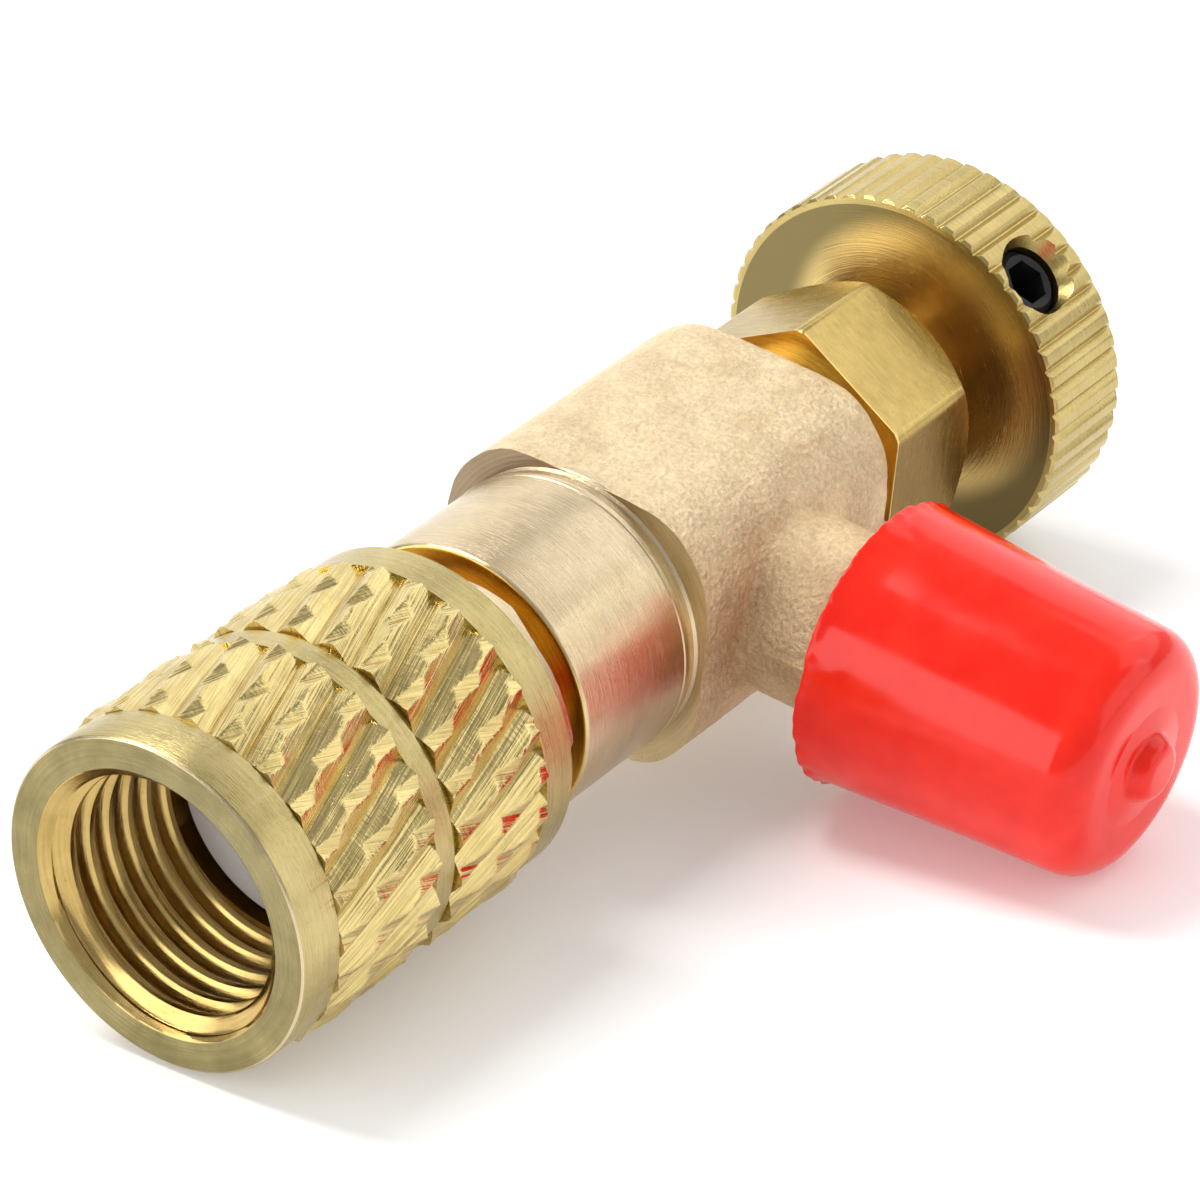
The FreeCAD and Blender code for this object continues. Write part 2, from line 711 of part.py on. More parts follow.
make_swivel_nut()
make_wire_ring("nut_retaining_ring", "ring_at", "ring_mean_r", "ring_wire_r", "ring_sweep")
make_face_gasket()
make_valve_body()
make_bonnet_seal_washer()
make_bonnet()
make_valve_stem()
make_wire_ring("stem_o_ring_inner", "o_ring_inner_at", "o_ring_mean_r", "o_ring_wire_r")
make_wire_ring("stem_o_ring_outer", "o_ring_outer_at", "o_ring_mean_r", "o_ring_wire_r")
make_depressor_pin()
make_hand_wheel()
make_set_screw()
make_port_cap()
box, middle = place_sub_parts()
check_document()
write_sub_parts()
print(f"{len(sub_parts)} sub-parts, {box.XLength:.2f} x {box.YLength:.2f} x {box.ZLength:.2f} mm")
print(f"main axis starts at {-middle.x:.3f}, {-middle.y:.3f}, {rest_placement().Base.z:.3f}")
print("lowest point", round(box.ZMin, 4))
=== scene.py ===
"""Looks for the refrigerant charging control valve.

Every piece is built in the valve's own axes, in millimetres: X along the main axis from the nut's
mouth to the hand wheel, -Y along the side port. VALVE carries them into the frame's metres.
"""

import json
import math

import bmesh
import bpy
import numpy as np
from mathutils import Matrix, Vector, noise


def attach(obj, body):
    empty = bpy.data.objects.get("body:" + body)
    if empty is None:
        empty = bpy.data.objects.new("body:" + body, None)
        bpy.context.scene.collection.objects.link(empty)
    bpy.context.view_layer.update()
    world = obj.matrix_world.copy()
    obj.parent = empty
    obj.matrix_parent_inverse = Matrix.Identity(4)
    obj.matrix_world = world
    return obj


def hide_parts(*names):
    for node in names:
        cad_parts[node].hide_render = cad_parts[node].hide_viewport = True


MM = 0.001
TURN = 2 * math.pi

# Places along the main axis, and radii from it, as in the CAD model
NUT_LENGTH = 19.5
NUT_BAND_R = 8.0
NUT_KNURL_R = 8.3
NUT_KNURLS = ((2.5, 9.2), (10.6, 16.9))
NUT_WAIST_R = 7.95
RELIEF_R = 7.78
NUT_MOUTH_R = 6.4
NUT_THREAD_END = 8.35
NUT_CHAMBER_END = 10.2
NUT_BORE_R = 5.4
NUT_TAIL_AT = 18.75
THREAD_MINOR_R = 5.67
THREAD_MAJOR_R = 6.35
THREAD_PITCH = 1.27
KNURL_STARTS = 24
KNURL_SLOPE = 0.38
KNURL_PITCH = TURN * NUT_KNURL_R / KNURL_STARTS
GASKET_AT = 8.6
GASKET_THICKNESS = 1.5
GASKET_R = 5.6
GASKET_HOLE_R = 2.0
RING_AT = 14.0
RING_R = 5.33
RING_WIRE_R = 0.6
RING_GAP = 35.0
RING_NUT_GROOVE = (13.35, 14.65)
RING_NUT_GROOVE_R = 6.0
RING_SPIGOT_GROOVE = (13.3, 15.9)
RING_SPIGOT_GROOVE_R = 4.05
SPIGOT_R = 5.25
SHOULDER_AT = 21.3
SHOULDER_R = 7.0
SHOULDER_END = 29.1
UNDERCUT_R = 6.8
BLOCK_AT = 29.8
BLOCK_END = 45.3
BLOCK_R = 8.15
BLOCK_FLAT = 6.9
BLOCK_PORT_FACE = 7.3
BLOCK_BACK_FACE = 7.45
FLOW_BORE_R = 2.6
CHAMBER_AT = 31.0
CHAMBER_R = 4.4
BONNET_BORE_AT = 39.2
BONNET_BORE_R = 5.0
WASHER_R = 5.9
WASHER_HOLE_R = 5.05
WASHER_THICKNESS = 0.6
BONNET_NECK_R = 5.6
BONNET_THREAD_R = 3.4
HEX_START = 47.0
HEX_END = 53.6
HEX_ACROSS_FLATS = 12.0
HEX_CORNER_ANGLE = 89.9
HEX_FAR_CHAMFER = 0.93
GLAND_AT = 44.5
GLAND_R = 2.55
STEM_NOSE_AT = 34.5
STEM_NOSE_R = 2.2
STEM_PIN_BORE_R = 1.25
STEM_PIN_BORE_END = 37.5
STEM_COLLAR_AT = 37.7
STEM_COLLAR_R = 4.0
STEM_THREAD_AT = 39.1
STEM_THREAD_R = 3.3
STEM_ROD_AT = 44.4
STEM_ROD_R = 2.5
STEM_END = 61.3
STEM_FLAT_R = 2.2
STEM_FLAT_HALF = 2.2
O_RINGS_AT = (48.4, 50.4)
O_RING_R = 2.145
O_RING_WIRE_R = 0.395
O_RING_GROOVE_R = 1.75
O_RING_GROOVE_HALF = 0.55
PIN_TIP_AT = 9.55
PIN_END = 37.4
PIN_R = 1.2
WHEEL_AT = 55.9
WHEEL_END = 61.9
WHEEL_TIP_R = 9.57
WHEEL_ROOT_R = 9.28
WHEEL_TEETH = 52
WHEEL_TOOTH_ANGLE = 68.2
WHEEL_BORE_R = 2.52
SCREW_AT = 58.4
SCREW_ANGLE = 129.0
SCREW_R = 1.75
SCREW_TOP = 8.65

# Places along the side port, measured from the main axis
PORT_AT = 37.0
PORT_BORE_R = 2.0
NECK_R = 4.4
PORT_THREAD = (12.6, 20.6)
PORT_THREAD_R = 5.556
PORT_THREAD_DEPTH = 0.68
FLARE_AT = 21.2
FLARE_R = 4.7
FLARE_TIP_R = 3.0
PORT_TIP = 24.2
CAP_RIM = 11.94
CAP_RIM_R = 6.8
CAP_WAIST = 20.0
CAP_WAIST_R = 6.25
CAP_END = 26.2
CAP_SHOULDER_R = 5.92
CAP_NIPPLE_END = 27.2
CAP_NIPPLE_R = 1.5
CAP_CAVITY_R = 5.62
CAP_CAVITY_END = 21.2
CAP_TIP_CAVITY_R = 4.9
CAP_TIP_CAVITY_END = 24.9


# ---- Frame ----

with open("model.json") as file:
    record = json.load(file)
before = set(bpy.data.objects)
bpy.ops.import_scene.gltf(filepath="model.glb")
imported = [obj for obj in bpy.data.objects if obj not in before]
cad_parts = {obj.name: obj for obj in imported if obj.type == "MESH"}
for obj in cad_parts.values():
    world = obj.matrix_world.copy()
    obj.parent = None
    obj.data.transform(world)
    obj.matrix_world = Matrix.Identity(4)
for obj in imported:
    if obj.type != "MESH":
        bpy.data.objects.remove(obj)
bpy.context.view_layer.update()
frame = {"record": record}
record = frame["record"]
joints = {joint["name"]: joint for joint in record["behaviour"]["joints"]}
body_of = {node: body for body, nodes in record["behaviour"]["bodies"].items() for node in nodes}


def valve_matrix():
    """The valve's axes in millimetres, carried to the row's metres: the nut spins about the main axis."""
    along = Vector(joints["nut_spin"]["axis"])
    port = Vector(joints["cap_pull"]["axis"])
    mouth = Vector(joints["nut_spin"]["pos_m"]) - along * NUT_LENGTH / 2 * MM
    axes = Matrix((along, -port, along.cross(-port))).transposed().to_4x4()
    return Matrix.Translation(mouth) @ axes @ Matrix.Scale(MM, 4)


VALVE = valve_matrix()
# Local X runs out along the side port
PORT = Matrix(((0, 1, 0, PORT_AT), (-1, 0, 0, 0), (0, 0, 1, 0), (0, 0, 0, 1)))
# Local X runs out along the set screw
SCREW = (
    Matrix.Translation((SCREW_AT, 0, 0))
    @ Matrix.Rotation(math.radians(SCREW_ANGLE), 4, "X")
    @ Matrix.Rotation(math.radians(90), 4, "Z")
)


# ---- Mesh tools ----

def new_object(name, data):
    """A new object in the scene."""
    made = bpy.data.objects.new(name, data)
    bpy.context.scene.collection.objects.link(made)
    return made


def to_bmesh(mesh):
    """The mesh as a bmesh; the mesh goes."""
    bm = bmesh.new()
    bm.from_mesh(mesh)
    bpy.data.meshes.remove(mesh)
    return bm


def to_mesh(bm, name):
    """The bmesh as a mesh; the bmesh goes."""
    mesh = bpy.data.meshes.new(name)
    bm.to_mesh(mesh)
    bm.free()
    return mesh


def rounded(points, steps=4):
    """An outline of (along, radius) points; a third number rounds that corner to that radius."""
    out = []
    count = len(points)
    for index, point in enumerate(points):
        here = Vector(point[:2])
        if len(point) < 3:
            out.append(here)
            continue
        before = (Vector(points[index - 1][:2]) - here).normalized()
        after = (Vector(points[(index + 1) % count][:2]) - here).normalized()
        half = before.angle(after) / 2
        centre = here + (before + after).normalized() * (point[2] / math.sin(half))
        reach = point[2] / math.tan(half)
        first = here + before * reach - centre
        sweep = first.angle_signed(here + after * reach - centre)
        for step in range(steps + 1):
            out.append(centre + Matrix.Rotation(-sweep * step / steps, 2) @ first)
    return out


def chamfer(at, radius, size, steps, into=-1):
    """Points out across a chamfer of 45 degrees, from the face at a place along X to the radius."""
    ways = [size * step / steps for step in range(steps + 1)]
    return [(at + into * way, radius - size + way) for way in ways]


def turned(outline, segments, warp=None):
    """A closed outline turned about X. warp(x, r, angle), on arrays, may reshape it."""
    angles = np.arange(segments) * TURN / segments
    x = np.repeat([[point[0]] for point in outline], segments, axis=1)
    r = np.repeat([[point[1]] for point in outline], segments, axis=1)
    a = np.repeat([angles], len(outline), axis=0)
    if warp:
        x, r = warp(x, r, a)
    verts = np.stack([x, r * np.cos(a), r * np.sin(a)], axis=-1).reshape(-1, 3)
    rows = np.arange(len(outline))[:, None] * segments
    following = np.roll(np.arange(len(outline)), -1)[:, None] * segments
    across = np.arange(segments)[None, :]
    beside = np.roll(across, -1, axis=1)
    faces = np.stack([rows + across, rows + beside, following + beside, following + across], axis=-1)
    mesh = bpy.data.meshes.new("turned")
    mesh.from_pydata(verts.tolist(), [], faces.reshape(-1, 4).tolist())
    bm = to_bmesh(mesh)
    bmesh.ops.remove_doubles(bm, verts=bm.verts, dist=1e-5)
    bmesh.ops.recalc_face_normals(bm, faces=bm.faces)
    return bm


def clip(bm, start, end):
    """Cut away whatever lies outside start and end along X."""
    for place, side in ((start, {"clear_inner": True}), (end, {"clear_outer": True})):
        geometry = bm.verts[:] + bm.edges[:] + bm.faces[:]
        bmesh.ops.bisect_plane(
            bm, geom=geometry, dist=1e-5, plane_co=(place, 0, 0), plane_no=(1, 0, 0), **side)


def wrap(points, faces, start, end, radius):
    """Lay flat (x, angle) points round the main axis, between start and end, at radius(x, angle)."""
    mesh = bpy.data.meshes.new("flat")
    mesh.from_pydata([(x, angle, 0) for x, angle in points], [], faces)
    bm = to_bmesh(mesh)
    clip(bm, start, end)
    for vert in bm.verts:
        x, angle = vert.co.x, vert.co.y
        r = radius(x, angle)
        vert.co = (x, r * math.cos(angle), r * math.sin(angle))
    bmesh.ops.remove_doubles(bm, verts=bm.verts, dist=1e-4)
    return bm


def open_loop(bm, x):
    """The edges of the open end at x."""
    return [
        edge for edge in bm.edges
        if edge.is_boundary and all(abs(vert.co.x - x) < 1e-3 for vert in edge.verts)
    ]


def extend(bm, edges, outline):
    """Carry an open end on through (x, radius) points, and return the new open end."""
    for x, r in outline:
        made = bmesh.ops.extrude_edge_only(bm, edges=edges)["geom"]
        verts = {item for item in made if isinstance(item, bmesh.types.BMVert)}
        for vert in verts:
            out = Vector((0, vert.co.y, vert.co.z)).normalized() * r
            vert.co = (x, out.y, out.z)
        edges = [item for item in made if isinstance(item, bmesh.types.BMEdge) and set(item.verts) <= verts]
    return edges


def add_to(bm, other):
    """Append another bmesh's geometry and free it."""
    mesh = to_mesh(other, "part")
    bm.from_mesh(mesh)
    bpy.data.meshes.remove(mesh)


def helix_patch(rows, turns, pitch, columns):
    """Flat points and faces of a sheet whose rows climb one pitch in a turn; rows are parts of a pitch."""
    lines = [(turn + part) * pitch for turn in range(*turns) for part in rows]
    points = [
        (line + pitch * column / columns, TURN * column / columns)
        for line in lines
        for column in range(columns + 1)
    ]
    stride = columns + 1
    firsts = [row * stride + column for row in range(len(lines) - 1) for column in range(columns)]
    faces = [(first, first + 1, first + 1 + stride, first + stride) for first in firsts]
    return points, faces


def shape_object(bm, name):
    """A bare object holding the bmesh, for modifiers."""
    return new_object(name, to_mesh(bm, name))


def modified(made, *modifiers):
    """The object's mesh after the modifiers, as a bmesh; the object goes."""
    for kind, settings in modifiers:
        modifier = made.modifiers.new(kind, kind)
        for key, setting in settings.items():
            setattr(modifier, key, setting)
    graph = bpy.context.evaluated_depsgraph_get()
    mesh = bpy.data.meshes.new_from_object(made.evaluated_get(graph))
    bpy.data.meshes.remove(made.data)
    return to_bmesh(mesh)


def boolean(base, cutter, operation):
    """Combine two closed bmeshes exactly."""
    tool = shape_object(cutter, "tool")
    settings = {"object": tool, "operation": operation, "solver": "EXACT"}
    result = modified(shape_object(base, "base"), ("BOOLEAN", settings))
    bpy.data.meshes.remove(tool.data)
    return result


def add_piece(bm, node, materials, local=None, crease=32):
    """Finish a piece: into the frame's metres, shaded, riding and standing for its CAD node."""
    if local:
        bm.transform(local)
    bmesh.ops.recalc_face_normals(bm, faces=bm.faces)
    bm.transform(VALVE)
    mesh = to_mesh(bm, node + "_detailed")
    mesh.polygons.foreach_set("use_smooth", [True] * len(mesh.polygons))
    mesh.set_sharp_from_angle(angle=math.radians(crease))
    for material in materials:
        mesh.materials.append(material)
    piece = new_object(node + "_detailed", mesh)
    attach(piece, body_of[node])
    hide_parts(node)
    return piece


# ---- Materials ----

# The wheel's painted reflection (amber for the hexagon's warm glow mirrored near the hub, darker olive
# painted shade further out): its tones, and how far its centre sits from the main axis, towards the port and
# up
REFLECTED_AMBER = (0.99, 0.74, 0.29)
SHADED_OLIVE = (0.21, 0.165, 0.07)
REFLECTION_OFFSET = (0, 1.4, -1.7)
# Places of a mix node's two colours and of its mixed colour
MIX_INPUTS = (6, 7)
MIX_OUTPUT = 2


class Shader:
    """A material's node tree, with short calls to add nodes."""

    def __init__(self, name):
        self.material = bpy.data.materials.new(name)
        self.material.use_nodes = True
        self.tree = self.material.node_tree
        self.tree.nodes.clear()
        self.surface = self.tree.nodes.new("ShaderNodeBsdfPrincipled")
        output = self.tree.nodes.new("ShaderNodeOutputMaterial")
        self.tree.links.new(self.surface.outputs[0], output.inputs["Surface"])

    def put(self, node, sockets):
        """Set or link a node's inputs."""
        for name, source in sockets.items():
            socket = node.inputs[name]
            if isinstance(source, bpy.types.NodeSocket):
                self.tree.links.new(source, socket)
            else:
                socket.default_value = source
        return node

    def surfaced(self, sockets):
        """Set or link the surface's inputs, and return the material."""
        self.put(self.surface, sockets)
        return self.material

    def node(self, kind, sockets, output=0, **settings):
        """Add a node and return one of its outputs."""
        made = self.tree.nodes.new(kind)
        for key, setting in settings.items():
            setattr(made, key, setting)
        return self.put(made, sockets).outputs[output]

    def place(self):
        """The point on the surface in the valve's axes, in millimetres."""
        place, turn, _ = VALVE.decompose()
        sockets = {
            "Vector": self.node("ShaderNodeTexCoord", {}, output="Object"),
            "Location": place,
            "Rotation": turn.to_euler(),
            "Scale": (MM, MM, MM),
        }
        return self.node("ShaderNodeMapping", sockets, vector_type="TEXTURE")

    def math(self, operation, first, second):
        return self.node("ShaderNodeMath", {0: first, 1: second}, operation=operation)

    def vector_math(self, operation, first, second=None):
        """Lengths and dot products come out as one number."""
        sockets = {0: first} if second is None else {0: first, 1: second}
        output = "Value" if operation in ("LENGTH", "DOT_PRODUCT") else "Vector"
        return self.node("ShaderNodeVectorMath", sockets, output=output, operation=operation)

    def place_parts(self):
        """The point on the surface as X, Y and Z."""
        parts = self.tree.nodes.new("ShaderNodeSeparateXYZ")
        return self.put(parts, {0: self.place()}).outputs

    def across(self, parts):
        """The vector from the main axis to the point on the surface."""
        return self.node("ShaderNodeCombineXYZ", {"Y": parts[1], "Z": parts[2]})

    def noise(self, vector, scale, detail=3.0, roughness=0.55):
        sockets = {"Vector": vector, "Scale": scale, "Detail": detail, "Roughness": roughness}
        return self.node("ShaderNodeTexNoise", sockets)

    def ramp(self, factor, *stops):
        """Map a factor through (position, grey or colour) stops."""
        made = self.tree.nodes.new("ShaderNodeValToRGB")
        elements = made.color_ramp.elements
        for index, (position, shade) in enumerate(stops):
            element = elements[index] if index < 2 else elements.new(position)
            element.position = position
            element.color = (*shade, 1) if isinstance(shade, tuple) else (shade, shade, shade, 1)
        return self.put(made, {0: factor}).outputs[0]

    def mix(self, factor, first, second, blend="MIX"):
        """Mix two colours."""
        sockets = {0: factor}
        for place, shade in zip(MIX_INPUTS, (first, second)):
            sockets[place] = (*shade, 1) if isinstance(shade, tuple) else shade
        return self.node("ShaderNodeMix", sockets, output=MIX_OUTPUT, data_type="RGBA", blend_type=blend)

    def bump(self, height, strength, distance):
        """A bump whose distance is in millimetres."""
        sockets = {"Height": height, "Strength": strength, "Distance": distance * MM}
        return self.node("ShaderNodeBump", sockets)

    def smooth_step(self, value, start, end):
        """0 before the start and 1 past the end."""
        sockets = {0: value, 1: start, 2: end}
        return self.node("ShaderNodeMapRange", sockets, interpolation_type="SMOOTHSTEP")

    def painted_reflection(self, colour, inner, outer, end_radius, end_x):
        """Painted reflection: amber inside the inner radius and darker olive painted shade outside the outer
        one, up to the end radius and end x.
        """
        parts = self.place_parts()
        across = self.across(parts)
        from_centre = self.vector_math("LENGTH", self.vector_math("ADD", across, REFLECTION_OFFSET))
        olive = self.smooth_step(from_centre, inner, outer)
        past_radius = self.math("GREATER_THAN", self.vector_math("LENGTH", across), end_radius)
        past_x = self.math("GREATER_THAN", parts[0], end_x)
        # Painted reflection colour: amber glow near the hub, fading to olive painted shade further out
        reflection_colour = self.mix(olive, REFLECTED_AMBER, SHADED_OLIVE)
        return self.mix(self.math("MAXIMUM", past_radius, past_x), reflection_colour, colour)

    def fade(self, colour, direction, start, end, tint):
        """Painted shade: tint a colour more and more, from start to end along a direction in the valve's
        axes.
        """
        along = self.vector_math("DOT_PRODUCT", self.place(), direction)
        shaded_colour = self.mix(1.0, colour, tint, "MULTIPLY")
        return self.mix(self.smooth_step(along, start, end), colour, shaded_colour)

    def lathe_rings(self, fineness):
        """Noise that runs in rings about the main axis, as a lathe leaves, and drifts slowly round them."""
        parts = self.place_parts()
        radius = self.vector_math("LENGTH", self.across(parts))
        rings = self.node("ShaderNodeCombineXYZ", {
            "X": self.math("MULTIPLY", parts[0], fineness),
            "Y": self.math("MULTIPLY", radius, fineness),
            "Z": self.math("MULTIPLY", self.math("ADD", parts[1], parts[2]), 0.35),
        })
        return self.noise(rings, 1.0, detail=4.0, roughness=0.7)


def machined_brass(name, tones, roughness, ring_depth, fineness=9.0, painted_reflection=None, fade=None):
    """Turned brass: fine lathe rings, a few scratches, and tarnish that drifts between tones, optionally with
    a painted reflection or painted shade laid over them.
    """
    shader = Shader(name)
    place = shader.place()
    rings = shader.lathe_rings(fineness)
    tarnish = shader.noise(place, 0.35, detail=5.0, roughness=0.65)
    specks = shader.noise(place, 7.0, detail=2.0)
    colour = shader.ramp(tarnish, (0.32, tones[0]), (0.68, tones[1]))
    worn = shader.ramp(rings, (0.35, 0.82), (0.6, 1.0))
    colour = shader.mix(1.0, colour, worn, "MULTIPLY")
    colour = shader.mix(shader.ramp(specks, (0.66, 0.0), (0.75, 0.5)), colour, tones[2])
    # Optional painted reflection, then optional painted shade, over the brass colour
    if painted_reflection:
        colour = shader.painted_reflection(colour, *painted_reflection)
    if fade:
        colour = shader.fade(colour, *fade)
    stretched = shader.vector_math("MULTIPLY", place, (0.25, 1.0, 2.2))
    scratches = shader.node(
        "ShaderNodeTexVoronoi", {"Vector": stretched, "Scale": 0.9}, feature="DISTANCE_TO_EDGE")
    height = shader.mix(0.05, rings, shader.ramp(scratches, (0.0, 0.0), (0.012, 1.0)))
    rough = shader.math("ADD", shader.math("MULTIPLY", rings, 0.16), roughness - 0.08)
    rough = shader.math("ADD", rough, shader.math("MULTIPLY", tarnish, 0.08))
    return shader.surfaced({
        "Base Color": colour,
        "Metallic": 1.0,
        "Roughness": rough,
        "Normal": shader.bump(height, 0.5, ring_depth),
    })


def nut_brass():
    """The bands of the nut, turned and handled."""
    tones = (0.47, 0.375, 0.15), (0.60, 0.49, 0.225), (0.28, 0.19, 0.06)
    return machined_brass("nut_brass", tones, 0.24, 0.05, fineness=11.0)


def shaded_face_brass():
    """The nut's front face: a darker copy of the nut's brass, painted shade."""
    tones = (0.23, 0.19, 0.08), (0.37, 0.305, 0.135), (0.16, 0.12, 0.05)
    # Painted shade: the face's tones are darker than the bands' tones
    return machined_brass("shaded_face_brass", tones, 0.22, 0.06, fineness=8.0)


def knurled_brass(name, lean):
    """Rolled brass, scored along the groove: lean is 1 along the deep grooves, -1 along the shallow ones."""
    shader = Shader(name)
    place = shader.place()
    parts = shader.place_parts()
    around = shader.math("MULTIPLY", shader.math("ARCTAN2", parts[2], parts[1]), NUT_KNURL_R)
    slant = shader.math("MULTIPLY", parts[0], lean * KNURL_SLOPE)
    scored = shader.node("ShaderNodeCombineXYZ", {
        "X": shader.math("MULTIPLY", shader.math("ADD", around, slant), 9.0),
        "Y": shader.math("MULTIPLY", parts[0], 0.22),
    })
    strokes = shader.noise(scored, 1.0, detail=2.0, roughness=0.5)
    chatter = shader.noise(shader.vector_math("MULTIPLY", place, (7.0, 1.5, 1.5)), 1.0, detail=2.0)
    tarnish = shader.noise(place, 0.4, detail=5.0, roughness=0.65)
    colour = shader.ramp(tarnish, (0.32, (0.57, 0.44, 0.17)), (0.68, (0.72, 0.575, 0.25)))
    colour = shader.mix(1.0, colour, shader.ramp(strokes, (0.32, 0.72), (0.62, 1.08)), "MULTIPLY")
    height = shader.mix(0.25, strokes, chatter)
    return shader.surfaced({
        "Base Color": colour,
        "Metallic": 1.0,
        "Roughness": shader.ramp(strokes, (0.3, 0.11), (0.7, 0.24)),
        "Normal": shader.bump(height, 0.8, 0.07),
    })


def wheel_brass():
    """Olive on the rim and the outer face; on the front face a painted reflection, glowing amber towards the
    hub where the gap is narrow and darker olive painted shade further out.
    """
    tones = (0.49, 0.375, 0.14), (0.58, 0.455, 0.185), (0.25, 0.16, 0.04)
    # Painted reflection on the front face and on the stem before it: amber near the hub, olive further out,
    # up to the root radius and just past the front face
    painted_reflection = (5.6, 7.8, WHEEL_ROOT_R - 0.15, WHEEL_AT + 0.5)
    return machined_brass("wheel_brass", tones, 0.20, 0.03, fineness=12.0, painted_reflection=painted_reflection)


def hex_brass():
    """Painted shade: bright on the hexagon's upper flats and darker on the ones below them."""
    tones = (0.48, 0.345, 0.11), (0.57, 0.415, 0.145), (0.26, 0.15, 0.04)
    # Painted shade: everything below the two upper flats is tinted darker
    fade = ((0, 0, -1), -3.5, -2.9, (0.58, 0.47, 0.30))
    return machined_brass("hex_brass", tones, 0.22, 0.03, fineness=3.0, fade=fade)


def shoulder_brass():
    """Pale turned brass of the shoulder and of the nut's tail."""
    tones = (0.62, 0.49, 0.29), (0.74, 0.61, 0.41), (0.42, 0.30, 0.15)
    return machined_brass("shoulder_brass", tones, 0.21, 0.04, fineness=14.0)


def faced_brass():
    """The block's machined front face, with painted shade making it darker at its upper back corner."""
    tones = (0.84, 0.68, 0.40), (0.95, 0.80, 0.51), (0.42, 0.30, 0.15)
    # Painted shade: tinted darker towards the upper back, from 3 to 6 mm along that way
    fade = ((0, 0.5, 0.87), 3.0, 6.0, (0.36, 0.33, 0.34))
    return machined_brass("faced_brass", tones, 0.34, 0.04, fade=fade)


def forged_brass():
    """Blasted forging: a matt grain over a pale champagne ground, sparkling with painted glints."""
    shader = Shader("forged_brass")
    place = shader.place()
    grain = shader.noise(place, 4.0, detail=5.0, roughness=0.75)
    pits = shader.node("ShaderNodeTexVoronoi", {"Vector": place, "Scale": 3.2, "Randomness": 1.0})
    patches = shader.noise(place, 0.5, detail=4.0)
    colour = shader.ramp(patches, (0.35, (0.73, 0.56, 0.34)), (0.65, (0.86, 0.69, 0.44)))
    shade = shader.ramp(grain, (0.34, 0.80), (0.5, 0.96), (0.66, 1.12))
    colour = shader.mix(1.0, colour, shade, "MULTIPLY")
    # Painted glints: pale specks in the pits stand in for the blasted skin's sparkle
    painted_glints = shader.ramp(pits, (0.04, 1.0), (0.20, 0.0))
    colour = shader.mix(shader.math("MULTIPLY", painted_glints, 0.7), colour, (1.0, 0.88, 0.66))
    height = shader.mix(0.3, grain, pits)
    return shader.surfaced({
        "Base Color": colour,
        "Metallic": 1.0,
        "Roughness": shader.ramp(grain, (0.35, 0.32), (0.65, 0.50)),
        "Normal": shader.bump(height, 1.0, 0.27),
    })


def thread_brass():
    """Inside and outside threads: smoother cuts of deeper, browner brass."""
    tones = (0.70, 0.47, 0.14), (0.80, 0.58, 0.20), (0.30, 0.18, 0.06)
    return machined_brass("thread_brass", tones, 0.16, 0.02, fineness=6.0)


def nut_thread_brass():
    """The nut's thread, dulled by use."""
    tones = (0.48, 0.33, 0.11), (0.66, 0.47, 0.17), (0.24, 0.15, 0.05)
    return machined_brass("nut_thread_brass", tones, 0.15, 0.02, fineness=6.0)


def copper_ring():
    tones = (0.80, 0.52, 0.16), (0.88, 0.64, 0.26), (0.45, 0.24, 0.08)
    return machined_brass("copper_ring", tones, 0.32, 0.02)


def spring_wire():
    """Grey steel wire, with the same drawn rings as the turned pieces."""
    tones = (0.50, 0.49, 0.48), (0.62, 0.61, 0.60), (0.25, 0.24, 0.23)
    return machined_brass("spring_wire", tones, 0.28, 0.01)


def black_oxide():
    """Chemically blackened steel with a faint oil film."""
    shader = Shader("black_oxide")
    place = shader.place()
    film = shader.noise(place, 2.5, detail=4.0)
    return shader.surfaced({
        "Base Color": shader.ramp(film, (0.3, (0.005, 0.005, 0.006)), (0.7, (0.018, 0.017, 0.019))),
        "Metallic": 0.0,
        "Specular IOR Level": 0.25,
        "Roughness": shader.ramp(film, (0.3, 0.35), (0.7, 0.55)),
        "Normal": shader.bump(shader.noise(place, 14.0), 0.3, 0.02),
    })


def red_vinyl():
    """Glossy soft vinyl: deep even red, faint moulding ripples, fine dust."""
    shader = Shader("red_vinyl")
    place = shader.place()
    ripples = shader.noise(place, 0.55, detail=2.0)
    dust = shader.noise(place, 16.0, detail=1.0)
    colour = shader.ramp(ripples, (0.3, (0.80, 0.010, 0.002)), (0.7, (0.88, 0.018, 0.004)))
    colour = shader.mix(shader.ramp(dust, (0.74, 0.0), (0.80, 0.35)), colour, (0.9, 0.25, 0.2))
    shader.surface.subsurface_method = "BURLEY"
    return shader.surfaced({
        "Base Color": colour,
        "Roughness": shader.ramp(ripples, (0.3, 0.12), (0.7, 0.20)),
        "IOR": 1.42,
        "Subsurface Weight": 0.12,
        "Subsurface Radius": (1.0, 0.12, 0.08),
        "Subsurface Scale": 0.6 * MM,
        "Normal": shader.bump(ripples, 0.15, 0.05),
    })


def gasket_white():
    """Turned white fluoropolymer, faintly ringed and waxy."""
    shader = Shader("gasket_white")
    rings = shader.lathe_rings(8.0)
    return shader.surfaced({
        "Base Color": shader.ramp(rings, (0.3, (0.90, 0.87, 0.85)), (0.7, (0.96, 0.94, 0.92))),
        "Roughness": shader.ramp(rings, (0.3, 0.42), (0.7, 0.55)),
        "Subsurface Weight": 0.2,
        "Subsurface Scale": 0.5 * MM,
        "Normal": shader.bump(rings, 0.3, 0.03),
    })


